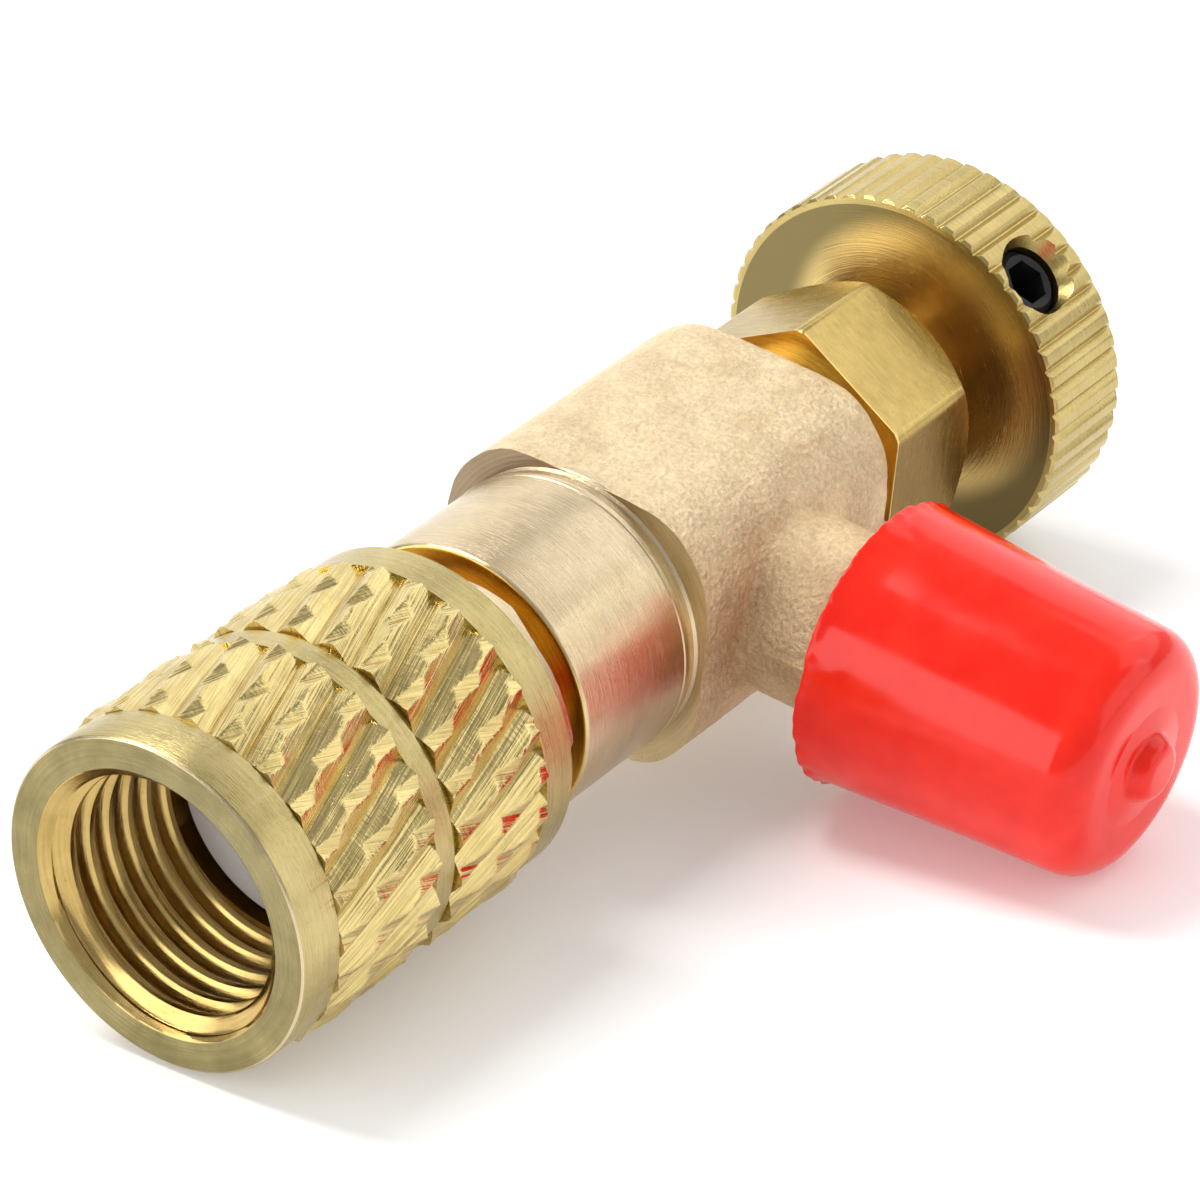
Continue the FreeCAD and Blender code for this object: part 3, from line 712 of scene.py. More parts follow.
def seal_rubber():
    shader = Shader("seal_rubber")
    place = shader.place()
    film = shader.noise(place, 6.0)
    return shader.surfaced({
        "Base Color": shader.ramp(film, (0.3, (0.012, 0.012, 0.012)), (0.7, (0.03, 0.03, 0.03))),
        "Roughness": shader.ramp(film, (0.3, 0.35), (0.7, 0.6)),
        "Normal": shader.bump(film, 0.3, 0.02),
    })


# ---- Swivel nut ----

# Places in the nut's list of materials
NUT_BAND, NUT_THREAD, DEEP_GROOVE, SHALLOW_GROOVE, NUT_EDGE, NUT_FACE, NUT_BORE = range(7)
# Mesh lines across a pitch of either family of grooves, closest on the crests and valleys
KNURL_LINES = (
    0.0, 0.015, 0.04, 0.07, 0.11, 0.155, 0.20, 0.25, 0.30, 0.35, 0.40, 0.44, 0.475,
    0.50, 0.525, 0.56, 0.60, 0.65, 0.70, 0.75, 0.80, 0.845, 0.89, 0.93, 0.96, 0.985)
# Where the crests of each family stand, in pitches
DEEP_CREST = 0.13
SHALLOW_CREST = 0.62


def knurl_points():
    """Flat points and faces of the nut's knurl, with mesh lines along both families of grooves."""
    count = len(KNURL_LINES)
    start, end = NUT_KNURLS[0][0], NUT_KNURLS[-1][1]
    low = int(2 * KNURL_SLOPE * start / KNURL_PITCH * count) - 2 * count
    high = int(2 * KNURL_SLOPE * end / KNURL_PITCH * count) + 2 * count
    index_of, points, faces = {}, [], []
    for second in range(KNURL_STARTS * count + 1):
        for first in range(second + low, second + high):
            a = (first // count + KNURL_LINES[first % count] + DEEP_CREST) * KNURL_PITCH
            b = (second // count + KNURL_LINES[second % count] + SHALLOW_CREST) * KNURL_PITCH
            x = (a - b) / (2 * KNURL_SLOPE)
            if start - KNURL_PITCH <= x <= end + KNURL_PITCH:
                index_of[first, second] = len(points)
                points.append((x, (a + b) / 2 / NUT_KNURL_R))
    for first, second in index_of:
        corners = [(first, second), (first + 1, second), (first + 1, second + 1), (first, second + 1)]
        if all(corner in index_of for corner in corners):
            faces.append([index_of[corner] for corner in corners])
    return points, faces


def knurl_cuts(x, angle):
    """The radii left by the deep grooves that run one way and the shallow ones that run the other."""
    around = angle * NUT_KNURL_R
    deep_at = (around + KNURL_SLOPE * x) / KNURL_PITCH - DEEP_CREST
    shallow_at = (around - KNURL_SLOPE * x) / KNURL_PITCH - SHALLOW_CREST
    deep_down = 1 - abs(deep_at % 1 - 0.5) * 2
    shallow_down = 1 - abs(shallow_at % 1 - 0.5) * 2
    spin = Vector((math.cos(angle), math.sin(angle), 0)) * 0.8
    deep_streak = 0.035 * noise.noise(spin + Vector((0, 0, deep_at % KNURL_STARTS * 13)))
    shallow_streak = 0.04 * noise.noise(spin + Vector((5, 0, shallow_at % KNURL_STARTS * 13)))
    deep = NUT_KNURL_R + 0.06 - 0.64 * deep_down + deep_streak
    shallow = NUT_KNURL_R + 0.16 - 0.44 * shallow_down + shallow_streak
    return deep, shallow


def knurl_radius(x, angle):
    """The lower of the two cuts, with crests that are worn and burred unevenly."""
    place = Vector((x, 9 * math.cos(angle), 9 * math.sin(angle)))
    wobble = 0.025 * noise.noise(place * 0.9) + 0.008 * noise.noise(place * 4)
    burr = 0.05 * noise.noise(place * 2.6)
    return min(*knurl_cuts(x, angle), NUT_KNURL_R + burr) + wobble


def thread_rise(x, angle, places, rises):
    """How far a thread stands at a point, from 0 to 1: places are parts of its pitch."""
    return float(np.interp((x - THREAD_PITCH * angle / TURN) / THREAD_PITCH % 1, places, rises))


def nut_thread_radius(x, angle):
    """Thread of 60 degrees with a flat crest, opened by the mouth's countersink."""
    rise = thread_rise(
        x, angle,
        (0.0, 0.22, 0.29, 0.53, 0.60, 0.65, 0.72, 0.96, 1.0), (0, 0, 0.08, 0.92, 1, 1, 0.92, 0.08, 0))
    thread = THREAD_MINOR_R + (THREAD_MAJOR_R - THREAD_MINOR_R) * rise
    return max(thread, NUT_MOUTH_R + 0.1 - x)


def nut_material(place):
    """Which of the nut's materials a place has."""
    in_knurl = any(start < place.x < end for start, end in NUT_KNURLS)
    inside = math.hypot(place.y, place.z) < NUT_BAND_R - 0.6
    if inside and place.x > 1:
        return NUT_BORE if place.x > NUT_CHAMBER_END + 0.1 else NUT_THREAD
    if place.x > NUT_TAIL_AT + 0.12:
        return NUT_EDGE
    if in_knurl and not inside:
        deep, shallow = knurl_cuts(place.x, math.atan2(place.z, place.y) % TURN)
        return DEEP_GROOVE if deep < shallow else SHALLOW_GROOVE
    if place.x < 0.005:
        return NUT_FACE
    return NUT_EDGE if place.x < 0.1 else NUT_BAND


def stake_tail(vert):
    """Leave the lip at the nut's tail standing only in three uneven stakes."""
    lip_at = NUT_TAIL_AT + 0.1
    past = vert.co.x - lip_at
    if past <= 0:
        return
    least = 0.02
    angle = math.degrees(math.atan2(vert.co.z, vert.co.y)) - 100
    along = angle % 120 / 68
    stand = np.interp(
        along, (0.0, 0.12, 0.25, 0.42, 0.9, 0.97, 1.0), (least, 0.75, 1.25, 0.72, 0.68, 0.6, least))
    stand += 0.06 * noise.noise(vert.co * 1.5)
    vert.co.x = lip_at + past * (max(float(stand), least) if along < 1 else least)


def make_nut():
    """The knurl is laid first, and the bands, the tail, the bore and the thread are carried on from it."""
    points, faces = knurl_points()
    nut = wrap(points, faces, *NUT_KNURLS[0], knurl_radius)
    add_to(nut, wrap(points, faces, *NUT_KNURLS[1], knurl_radius))
    (front, waist_start), (waist_end, rear) = NUT_KNURLS
    groove_start, groove_end = RING_NUT_GROOVE
    extend(nut, open_loop(nut, front), [
        (front, NUT_BAND_R - 0.05), (front - 0.08, NUT_BAND_R), (0.16, NUT_BAND_R), (0.08, NUT_BAND_R - 0.03),
        (0.0, NUT_BAND_R - 0.13), (0.0, NUT_MOUTH_R + 0.14)])
    near = extend(nut, open_loop(nut, waist_start), [
        (waist_start, NUT_WAIST_R), (waist_end - 0.2, NUT_WAIST_R), (waist_end - 0.16, NUT_WAIST_R - 0.03),
        (waist_end - 0.1, RELIEF_R), (waist_end - 0.01, RELIEF_R)])
    far = extend(nut, open_loop(nut, waist_end), [(waist_end, RELIEF_R)])
    bmesh.ops.bridge_loops(nut, edges=near + far)
    extend(nut, open_loop(nut, rear), [
        (rear, NUT_BAND_R + 0.05), (NUT_TAIL_AT, NUT_BAND_R + 0.05), (NUT_TAIL_AT + 0.06, NUT_BAND_R - 0.01),
        (NUT_TAIL_AT + 0.12, NUT_BAND_R - 0.06), (NUT_LENGTH - 0.12, NUT_BAND_R - 0.12),
        (NUT_LENGTH - 0.04, NUT_BAND_R - 0.2), (NUT_LENGTH - 0.06, NUT_BAND_R - 0.5),
        (NUT_TAIL_AT + 0.1, NUT_BAND_R - 0.8), (NUT_TAIL_AT + 0.08, NUT_BORE_R + 0.25),
        (NUT_TAIL_AT - 0.1, NUT_BORE_R),
        (groove_end, NUT_BORE_R), (groove_end, RING_NUT_GROOVE_R),
        (groove_start, RING_NUT_GROOVE_R), (groove_start, NUT_BORE_R),
        (NUT_CHAMBER_END, NUT_BORE_R), (NUT_CHAMBER_END, NUT_MOUTH_R), (NUT_THREAD_END + 0.1, NUT_MOUTH_R)])
    for vert in nut.verts:
        stake_tail(vert)
    for face in nut.faces:
        face.material_index = nut_material(face.calc_center_median())
    rows = (
        0.0, 0.11, 0.22, 0.255, 0.29, 0.37, 0.45, 0.53,
        0.565, 0.60, 0.65, 0.685, 0.72, 0.80, 0.88, 0.96)
    sheet = helix_patch(rows, (-2, 9), THREAD_PITCH, 120)
    thread = wrap(*sheet, 0.02, NUT_THREAD_END, nut_thread_radius)
    for face in thread.faces:
        face.material_index = NUT_THREAD
    add_to(nut, thread)
    mouth = [edge for edge in nut.edges if edge.is_boundary and edge.verts[0].co.x < 0.1]
    bmesh.ops.bridge_loops(nut, edges=mouth)
    bmesh.ops.bridge_loops(nut, edges=[edge for edge in nut.edges if edge.is_boundary])
    materials = [
        nut_brass(), nut_thread_brass(), knurled_brass("deep_knurl", 1), knurled_brass("shallow_knurl", -1),
        shoulder_brass(), shaded_face_brass(), thread_brass()]
    return add_piece(nut, "swivel_nut", materials)


# ---- Small rings ----

def wire_ring(at, mean_radius, wire_radius, gap=0.0):
    """A ring of round wire about the main axis, open by gap degrees, with rounded-off ends."""
    steps, around = 96, 20
    sweep = math.radians(360 - gap)
    rows = [(sweep * step / steps, 1.0) for step in range(steps + (1 if gap else 0))]
    if gap:
        rows = [(-0.02, 0.0), (-0.02, 0.75)] + rows + [(sweep + 0.02, 0.75), (sweep + 0.02, 0.0)]
    bm = bmesh.new()
    loops = []
    for angle, size in rows:
        loop = []
        for index in range(around):
            turn = TURN * index / around
            r = mean_radius + wire_radius * size * math.cos(turn)
            x = at + wire_radius * size * math.sin(turn)
            loop.append(bm.verts.new((x, r * math.cos(angle), r * math.sin(angle))))
        loops.append(loop)
    pairs = list(zip(loops, loops[1:])) + ([] if gap else [(loops[-1], loops[0])])
    for first, second in pairs:
        for index in range(around):
            following = (index + 1) % around
            bm.faces.new((first[index], first[following], second[following], second[index]))
    bmesh.ops.remove_doubles(bm, verts=bm.verts, dist=1e-5)
    return bm


def make_rings():
    """The nut's split ring and the stem's two O-rings."""
    add_piece(wire_ring(RING_AT, RING_R, RING_WIRE_R, RING_GAP), "nut_retaining_ring", [spring_wire()])
    rubber = seal_rubber()
    for at, node in zip(O_RINGS_AT, ("stem_o_ring_inner", "stem_o_ring_outer")):
        add_piece(wire_ring(at, O_RING_R, O_RING_WIRE_R), node, [rubber])


def make_gasket():
    end = GASKET_AT + GASKET_THICKNESS
    outline = rounded([
        (GASKET_AT, GASKET_HOLE_R, 0.25), (GASKET_AT, GASKET_R, 0.2),
        (end, GASKET_R, 0.1), (end, GASKET_HOLE_R, 0.1)])
    add_piece(turned(outline, 96), "face_gasket", [gasket_white()])


def make_washer():
    end = BLOCK_END + WASHER_THICKNESS
    outline = rounded([
        (BLOCK_END, WASHER_HOLE_R), (BLOCK_END, WASHER_R, 0.08), (end, WASHER_R, 0.08), (end, WASHER_HOLE_R)])
    add_piece(turned(outline, 96), "bonnet_seal_washer", [copper_ring()])


# ---- Forged body ----

# Places in the body's list of materials; the forging's own skin is the first
TURNED, THREADED, FACED = 1, 2, 3


def block_radius(angle):
    """The forged block's section: a circle softly cut by its four flats."""
    flats = (
        BLOCK_R,
        BLOCK_FLAT / np.maximum(np.abs(np.sin(angle)), 1e-3),
        BLOCK_BACK_FACE / np.maximum(np.cos(angle), 1e-3),
        BLOCK_PORT_FACE / np.maximum(-np.cos(angle), 1e-3),
    )
    sharpness = 22
    return sum((1 / flat) ** sharpness for flat in flats) ** (-1 / sharpness)


def warp_block(x, r, angle):
    """Shape the block's outside and leave its bores round."""
    return x, np.where(r > BONNET_BORE_R + 0.3, r * block_radius(angle) / BLOCK_R, r)


def warp_neck(x, r, angle):
    """Drop the neck's root onto the block's rounded sides."""
    side = np.abs(r * np.sin(angle))
    surface = np.sqrt(np.maximum(BLOCK_R ** 2 - side ** 2, 0))
    drop = np.minimum(surface - BLOCK_PORT_FACE, 0)
    return x + drop * np.clip((9.0 - x) / 1.7, 0, 1), r


def make_forging():
    """Block and neck blended as one forging, with a ragged parting line and a machined front face."""
    block = turned(rounded([
        (BLOCK_AT - 1, FLOW_BORE_R), (BLOCK_AT - 1, BLOCK_R), (BLOCK_END, BLOCK_R, 1.3),
        (BLOCK_END, BONNET_BORE_R), (BONNET_BORE_AT, BONNET_BORE_R), (BONNET_BORE_AT, CHAMBER_R),
        (CHAMBER_AT, CHAMBER_R), (CHAMBER_AT, FLOW_BORE_R)]), 240, warp_block)
    root, root_r = BLOCK_PORT_FACE - 0.08, 4.8
    neck_end = PORT_THREAD[0] + 0.1
    neck = turned(rounded([
        (5.0, 0.0), (5.0, root_r), (root, root_r), (root, NECK_R, 0.3),
        (neck_end, NECK_R), (neck_end, 0.0)], 8), 120, warp_neck)
    neck.transform(PORT)
    forging = boolean(block, neck, "UNION")
    bore_start = CHAMBER_R - 1.4
    bore = turned([(bore_start, 0.0), (bore_start, PORT_BORE_R), (14.0, PORT_BORE_R), (14.0, 0.0)], 48)
    bore.transform(PORT)
    forging = boolean(forging, bore, "DIFFERENCE")
    forging = modified(
        shape_object(forging, "forging"),
        ("REMESH", {"mode": "VOXEL", "voxel_size": 0.13}),
        ("SMOOTH", {"factor": 0.5, "iterations": 2}),
    )
    for vert in forging.verts:
        roughen_forging(vert)
    clip(forging, BLOCK_AT, BLOCK_END + 1)
    for face in bmesh.ops.bridge_loops(forging, edges=open_loop(forging, BLOCK_AT))["faces"]:
        face.material_index = FACED
    return forging


def roughen_forging(vert):
    """Raise the parting line where the two dies met, and leave the skin slightly uneven."""
    place = vert.co
    outside = math.hypot(place.y, place.z) > 6.5
    if not outside or place.x > BLOCK_END - 0.2:
        return
    ragged = 0.55 + 0.9 * noise.noise(Vector((place.x * 1.9, place.y * 1.9, 3.0)))
    line = math.exp(-((place.z - 0.3 * ragged) / 0.17) ** 2) * 0.24 * max(ragged, 0.1)
    skin = 0.03 * noise.noise(place * 1.1) + 0.02 * noise.noise(place * 3.0)
    vert.co += vert.normal * (line + skin)


def port_thread_radius(x, angle):
    """Thread of 60 degrees with a flat crest, cut back by a chamfer at each end."""
    rise = thread_rise(
        x, angle,
        (0.0, 0.12, 0.19, 0.46, 0.53, 0.67, 0.73, 0.98, 1.0), (1, 1, 0.92, 0.08, 0, 0, 0.08, 0.92, 1))
    thread = PORT_THREAD_R - PORT_THREAD_DEPTH * (1 - rise)
    start, end = PORT_THREAD
    return min(thread, 4.8 + (x - start) * 1.2, 4.75 + (end - x) * 1.2)


def make_port_thread():
    """The side port's outside thread, its flare nose and the bore through both."""
    start, end = PORT_THREAD
    rows = (
        0.0, 0.12, 0.155, 0.19, 0.28, 0.37, 0.46, 0.495,
        0.53, 0.6, 0.67, 0.7, 0.73, 0.82, 0.9, 0.98)
    sheet = helix_patch(rows, (8, 18), THREAD_PITCH, 96)
    port = wrap(*sheet, start, end, port_thread_radius)
    inner = extend(port, open_loop(port, start), [
        (start, NECK_R - 0.1), (start - 0.6, NECK_R - 0.1), (start - 0.6, PORT_BORE_R)])
    outer = extend(port, open_loop(port, end), [
        (end + 0.1, FLARE_R), (FLARE_AT, FLARE_R), (FLARE_AT + 1.68, FLARE_TIP_R + 0.04),
        (FLARE_AT + 1.75, FLARE_TIP_R), (PORT_TIP - 0.1, FLARE_TIP_R), (PORT_TIP, FLARE_TIP_R - 0.1),
        (PORT_TIP, PORT_BORE_R + 0.15), (PORT_TIP - 0.15, PORT_BORE_R)])
    bmesh.ops.bridge_loops(port, edges=inner + outer)
    port.transform(PORT)
    for face in port.faces:
        face.material_index = THREADED
    return port


def make_shoulder():
    """The turned spigot and shoulder, with the ring's groove and a bright rolled edge at the back."""
    nose = GASKET_AT + GASKET_THICKNESS
    groove_start, groove_end = RING_SPIGOT_GROOVE
    raised_r = SHOULDER_R + 0.05
    outline = rounded([
        (nose, FLOW_BORE_R), (nose, SPIGOT_R, 0.3),
        (groove_start, SPIGOT_R, 0.08), (groove_start, RING_SPIGOT_GROOVE_R),
        (groove_end, RING_SPIGOT_GROOVE_R), (groove_end, SPIGOT_R, 0.08),
        (SHOULDER_AT, SPIGOT_R), (SHOULDER_AT, SHOULDER_R, 0.22),
        (SHOULDER_END - 0.42, SHOULDER_R), (SHOULDER_END - 0.36, raised_r), (SHOULDER_END, raised_r, 0.12),
        (SHOULDER_END, UNDERCUT_R), (SHOULDER_END + 0.3, UNDERCUT_R),
        (BLOCK_AT - 0.12, UNDERCUT_R + 0.03), (BLOCK_AT + 0.1, UNDERCUT_R + 0.25),
        (BLOCK_AT + 1.1, UNDERCUT_R), (BLOCK_AT + 1.1, FLOW_BORE_R)])
    shoulder = turned(outline, 192)
    for face in shoulder.faces:
        on_spigot = face.calc_center_median().x < SHOULDER_AT + 0.05
        face.material_index = THREADED if on_spigot else TURNED
    return shoulder


def make_body():
    """The forging, the turned shoulder and the port's thread, as one piece."""
    body = make_forging()
    add_to(body, make_shoulder())
    add_to(body, make_port_thread())
    return add_piece(body, "valve_body", [forged_brass(), shoulder_brass(), thread_brass(), faced_brass()])


# ---- Bonnet, stem and pin ----

def warp_hex(x, r, angle):
    """Six flats with slightly eased corners, cut back by the chamfers in the outline."""
    corner = math.radians(HEX_CORNER_ANGLE)
    step = math.radians(60)
    away = np.abs((angle - corner) % step - step / 2)
    flat = HEX_ACROSS_FLATS / 2 / np.cos(away)
    eased = HEX_ACROSS_FLATS / math.sqrt(3) - 0.10
    return x, np.where(r > BONNET_NECK_R + 0.05, np.minimum(r, np.minimum(flat, eased)), r)


def make_bonnet():
    """The hexagon's far end is chamfered until its corners are cut back; its near end is left square."""
    corner_r = HEX_ACROSS_FLATS / math.sqrt(3)
    neck_start = BLOCK_END + WASHER_THICKNESS
    outline = (
        [(BONNET_BORE_AT, BONNET_THREAD_R), (BONNET_BORE_AT, BONNET_BORE_R), (neck_start, BONNET_BORE_R)]
        + [(neck_start, BONNET_NECK_R), (HEX_START, BONNET_NECK_R)]
        + [(HEX_START, corner_r - 0.15), (HEX_START + 0.1, corner_r)]
        + chamfer(HEX_END, corner_r, HEX_FAR_CHAMFER, 14)[::-1]
        + rounded([(HEX_END, 4.5), (HEX_END, GLAND_R + 0.35), (HEX_END - 0.35, GLAND_R)])
        + [(GLAND_AT, GLAND_R), (GLAND_AT, BONNET_THREAD_R)]
    )
    bonnet = turned(outline, 360, warp_hex)
    for face in bonnet.faces:
        face.material_index = 1 if face.calc_center_median().x < HEX_START + 0.06 else 0
    return add_piece(bonnet, "bonnet", [hex_brass(), thread_brass()], crease=24)


def warp_stem(x, r, angle):
    """The flat under the set screw, on the side that the screw comes from."""
    away = np.abs((angle - math.radians(SCREW_ANGLE) + math.pi) % TURN - math.pi)
    flat = STEM_FLAT_R / np.maximum(np.cos(away), 1e-3)
    on_flat = np.abs(x - SCREW_AT) < STEM_FLAT_HALF
    return x, np.where(on_flat, np.minimum(r, flat), r)


def make_stem():
    """Nose over the pin, stop collar, thread, grooved rod, and the flat for the set screw."""
    grooves = []
    for at in O_RINGS_AT:
        start, end = at - O_RING_GROOVE_HALF, at + O_RING_GROOVE_HALF
        grooves += [(start, STEM_ROD_R), (start, O_RING_GROOVE_R), (end, O_RING_GROOVE_R), (end, STEM_ROD_R)]
    thread = []
    root_r = STEM_THREAD_R - 0.55
    for turn in range(5):
        start = 39.3 + turn
        thread += [
            (start, STEM_THREAD_R), (start + 0.12, STEM_THREAD_R), (start + 0.5, root_r),
            (start + 0.62, root_r), (start + 0.95, STEM_THREAD_R)]
    flat = [
        (SCREW_AT + side * (STEM_FLAT_HALF + margin), STEM_ROD_R)
        for side, margin in ((-1, 0.01), (-1, -0.01), (1, -0.01), (1, 0.01))
    ]
    outline = (
        [(STEM_NOSE_AT, STEM_PIN_BORE_R), (STEM_NOSE_AT, STEM_NOSE_R - 0.2)]
        + [(STEM_NOSE_AT + 0.2, STEM_NOSE_R), (STEM_COLLAR_AT, STEM_NOSE_R)]
        + rounded([
            (STEM_COLLAR_AT, 2.5), (STEM_COLLAR_AT, STEM_COLLAR_R, 0.2),
            (STEM_THREAD_AT, STEM_COLLAR_R, 0.2), (STEM_THREAD_AT, STEM_THREAD_R)])
        + thread
        + [(STEM_ROD_AT, 3.2), (STEM_ROD_AT, STEM_ROD_R)]
        + grooves
        + flat
        + [(STEM_END - 0.3, STEM_ROD_R), (STEM_END, STEM_ROD_R - 0.3), (STEM_END, 0.0)]
        + [(STEM_PIN_BORE_END, 0.0), (STEM_PIN_BORE_END, STEM_PIN_BORE_R)]
    )
    # The stem shares the wheel's brass, so before the wheel's front face it carries the same painted amber
    # reflection
    return add_piece(turned(outline, 96, warp_stem), "valve_stem", [wheel_brass()])


def make_pin():
    outline = rounded([
        (PIN_TIP_AT, 0.0), (PIN_TIP_AT, PIN_R, 0.45), (PIN_END, PIN_R, 0.2), (PIN_END, 0.0)])
    return add_piece(turned(outline, 48), "depressor_pin", [thread_brass()])


# ---- Hand wheel ----

def warp_wheel(x, r, angle):
    """Straight V grooves round the rim, with eased tips."""
    step = TURN / WHEEL_TEETH
    away = np.abs((angle - math.radians(WHEEL_TOOTH_ANGLE)) % step / step - 0.5) * 2
    tooth = WHEEL_ROOT_R + (WHEEL_TIP_R - WHEEL_ROOT_R) * np.clip((away - 0.06) / 0.52, 0, 1) ** 0.9
    return x, np.where(r > WHEEL_ROOT_R - 0.3, np.minimum(r, tooth), r)


def make_wheel():
    """Chamfered disc with the stem's bore and the set screw's hole."""
    outline = (
        [(WHEEL_AT, 2.75), (WHEEL_AT, WHEEL_TIP_R - 0.5)]
        + chamfer(WHEEL_AT, WHEEL_TIP_R, 0.14, 6, into=1)
        + chamfer(WHEEL_END, WHEEL_TIP_R, 0.5, 8)[::-1]
        + [(WHEEL_END, 8.6), (WHEEL_END, 2.9)]
        + [(WHEEL_END - 0.35, WHEEL_BORE_R), (WHEEL_AT + 0.2, WHEEL_BORE_R)]
    )
    wheel = turned(outline, WHEEL_TEETH * 16, warp_wheel)
    clear_r = SCREW_R + 0.02
    hole = turned([
        (1.0, 0.0), (1.0, clear_r), (SCREW_TOP + 0.1, clear_r), (WHEEL_TIP_R - 0.15, SCREW_R + 0.38),
        (WHEEL_TIP_R + 1, SCREW_R + 0.9), (WHEEL_TIP_R + 1, 0.0)], 64)
    hole.transform(SCREW)
    return add_piece(boolean(wheel, hole, "DIFFERENCE"), "hand_wheel", [wheel_brass()], crease=24)


def warp_socket(x, r, angle):
    """Six-sided socket in the screw's top."""
    step = math.radians(60)
    flat = 1.0 / np.cos(np.abs(angle % step - step / 2))
    return x, np.where((r > 0.9) & (r < 1.25) & (x > STEM_FLAT_R + 1), flat, r)


def make_screw():
    """Threaded screw with a flat point and a socket."""
    crest_r = SCREW_R - 0.02
    thread = []
    start = STEM_FLAT_R + 0.6
    while start < SCREW_TOP - 1.0:
        thread += [(start, SCREW_R - 0.4), (start + 0.3, crest_r), (start + 0.42, crest_r)]
        start += 0.7
    outline = (
        [(STEM_FLAT_R, 0.0), (STEM_FLAT_R, 1.1)]
        + thread
        + [(SCREW_TOP - 0.35, crest_r), (SCREW_TOP, SCREW_R - 0.35)]
        + [(SCREW_TOP, 1.3), (SCREW_TOP - 0.08, 1.2), (SCREW_TOP - 2.0, 1.2), (SCREW_TOP - 2.4, 0.0)]
    )
    return add_piece(turned(outline, 72, warp_socket), "set_screw", [black_oxide()], local=SCREW)


# ---- Cap ----

def warp_cap(x, r, angle):
    """The trimmed rim wanders, and the soft wall is never quite round."""
    wander = 0.10 * np.sin(2 * angle + 0.6) + 0.06 * np.sin(5 * angle) + 0.05 * np.sin(11 * angle + 1.0)
    near_rim = np.clip((CAP_RIM + 1.2 - x) / 1.2, 0, 1)
    oval = 1 + 0.004 * np.sin(2 * angle) * (r > CAP_NIPPLE_R + 0.5)
    ragged = 0.5 + 0.3 * np.sin(3 * angle + 2.2) + 0.2 * np.sin(23 * angle) + 0.2 * np.sin(41 * angle + 1.0)
    flash = 0.20 * np.clip(ragged, 0.1, 1) * np.clip((CAP_RIM + 0.55 - x) / 0.35, 0, 1) * (r > 6.3)
    return x + np.maximum(wander, -0.02) * near_rim, r * oval + flash


def make_cap():
    """Tapered cap with a ragged rim, a soft nipple at its end, and a stepped cavity."""
    outline = rounded([
        (CAP_RIM, CAP_CAVITY_R + 0.04, 0.12), (CAP_RIM, CAP_RIM_R, 0.12), (CAP_RIM + 0.3, CAP_RIM_R - 0.03),
        (CAP_RIM + 0.62, CAP_RIM_R - 0.05), (CAP_RIM + 2, CAP_RIM_R - 0.12),
        (CAP_WAIST, CAP_WAIST_R), (CAP_END, CAP_SHOULDER_R, 1.9), (CAP_END - 0.03, 2.9, 0.8),
        (CAP_END + 0.15, CAP_NIPPLE_R + 0.2, 0.3), (CAP_NIPPLE_END, CAP_NIPPLE_R - 0.2, 0.7),
        (CAP_NIPPLE_END, 0.0), (CAP_TIP_CAVITY_END, 0.0), (CAP_TIP_CAVITY_END, CAP_TIP_CAVITY_R, 0.6),
        (CAP_CAVITY_END, CAP_TIP_CAVITY_R), (CAP_CAVITY_END, CAP_CAVITY_R)], 8)
    return add_piece(turned(outline, 192, warp_cap), "port_cap", [red_vinyl()], local=PORT)


# ---- Stage ----

CAMERA_AIM = Vector((-1.34, 7.13, 9.88)) * MM
CAMERA_DISTANCE = 266.54 * MM
CAMERA_AZIMUTH = 53.57
CAMERA_ELEVATION = 29.27
CAMERA_ROLL = -0.917
CAMERA_LENS = 176.7


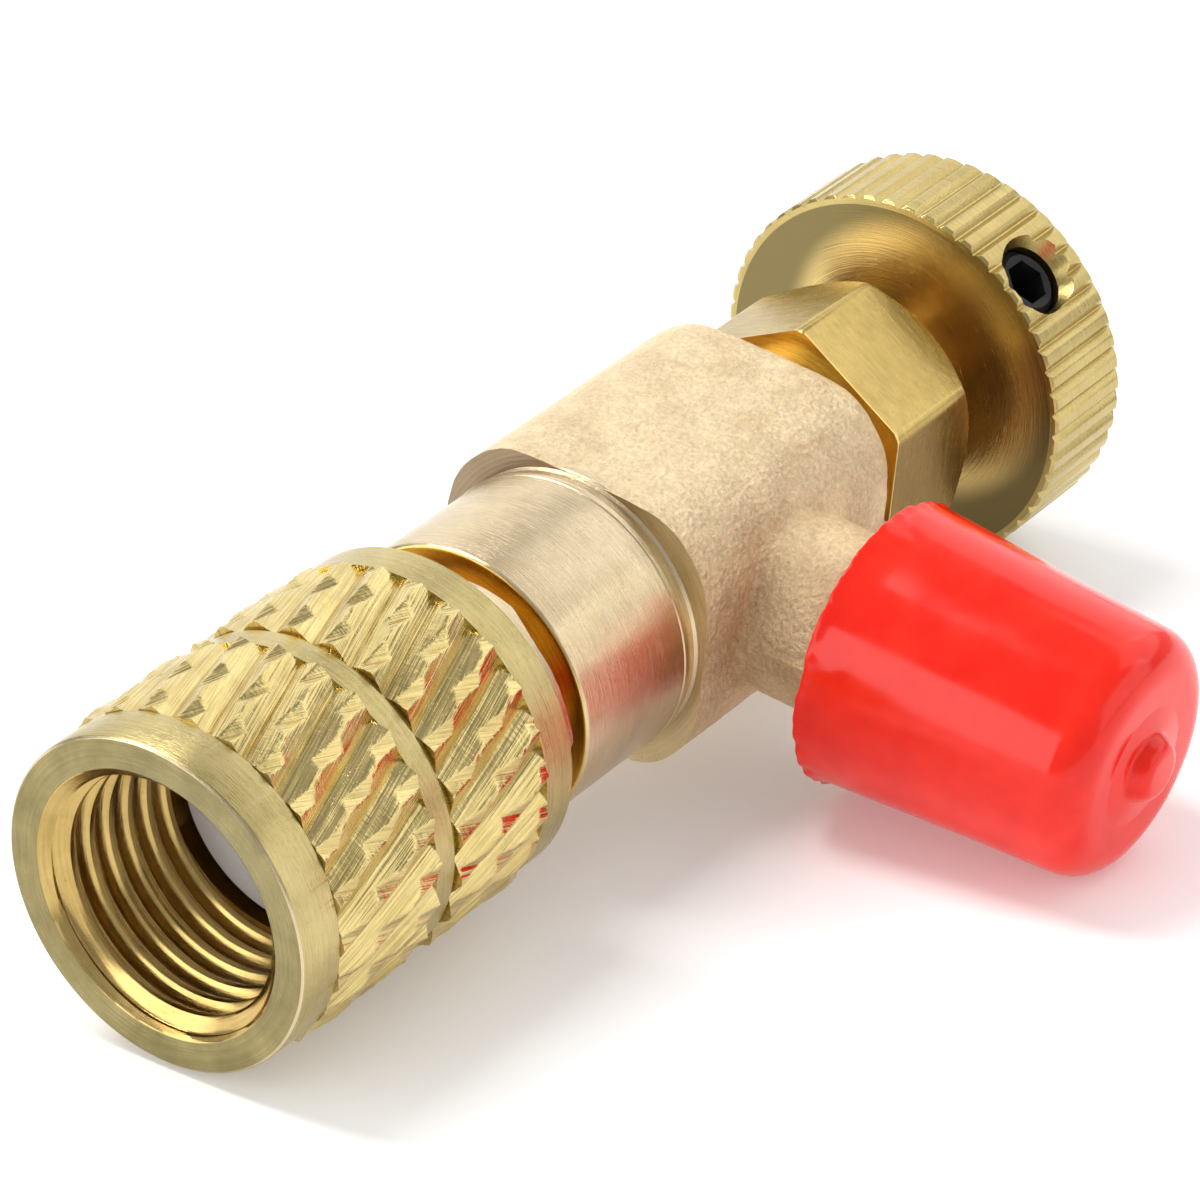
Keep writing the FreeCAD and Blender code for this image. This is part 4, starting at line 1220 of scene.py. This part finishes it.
def add_camera():
    azimuth = math.radians(CAMERA_AZIMUTH)
    elevation = math.radians(CAMERA_ELEVATION)
    level = math.cos(elevation)
    forward = Vector((math.sin(azimuth) * level, math.cos(azimuth) * level, -math.sin(elevation)))
    data = bpy.data.cameras.new("camera")
    data.lens = CAMERA_LENS
    data.clip_start = 0.01
    data.clip_end = 10
    camera = new_object("camera", data)
    camera.location = CAMERA_AIM - forward * CAMERA_DISTANCE
    roll = Matrix.Rotation(math.radians(CAMERA_ROLL), 4, "Z")
    turn = forward.to_track_quat("-Z", "Y").to_matrix().to_4x4() @ roll
    camera.rotation_euler = turn.to_euler()
    bpy.context.scene.camera = camera


def add_area(name, place, size, power):
    """A soft white light aimed at the valve: its place and size are in metres."""
    data = bpy.data.lights.new(name, "AREA")
    data.shape = "RECTANGLE"
    data.size, data.size_y = size
    data.energy = power
    light = new_object(name, data)
    light.location = Vector(place)
    light.rotation_euler = (-Vector(place)).to_track_quat("-Z", "Y").to_euler()


def floor_material():
    """Pale floor that gives off a little light of its own, so that it stays pale between the lights."""
    shader = Shader("floor_pale")
    place = shader.place()
    grain = shader.noise(place, 0.05)
    return shader.surfaced({
        "Base Color": shader.ramp(grain, (0.3, 0.86), (0.7, 0.88)),
        "Roughness": 0.7,
        "Emission Color": (1, 1, 1, 1),
        "Emission Strength": 0.18,
    })


def add_world():
    """Pale walls all round."""
    world = bpy.data.worlds.new("studio")
    world.use_nodes = True
    world.node_tree.nodes["Background"].inputs["Color"].default_value = (0.5, 0.5, 0.5, 1)
    bpy.context.scene.world = world


def add_stage():
    """A pale floor under the valve, one strong light overhead and softer ones round it."""
    bm = bmesh.new()
    bmesh.ops.create_grid(bm, x_segments=1, y_segments=1, size=3.0)
    floor = shape_object(bm, "floor")
    floor.data.materials.append(floor_material())
    add_area("back", (0.56, 0.42, 0.32), (0.9, 0.6), 1.6)
    add_area("right", (0.52, -0.20, 0.46), (0.6, 0.6), 1.15)
    add_area("overhead", (-0.08, 0.40, 0.70), (0.22, 0.5), 4.5)
    add_area("side", (0.25, -0.70, 0.28), (0.8, 0.5), 1.3)
    add_area("left", (-0.62, 0.40, 0.24), (0.8, 0.5), 3.0)
    add_world()
    bpy.context.scene.view_settings.view_transform = "Standard"


make_nut()
make_rings()
make_gasket()
make_body()
make_washer()
make_bonnet()
make_stem()
make_pin()
make_wheel()
make_screw()
make_cap()
add_stage()
add_camera()
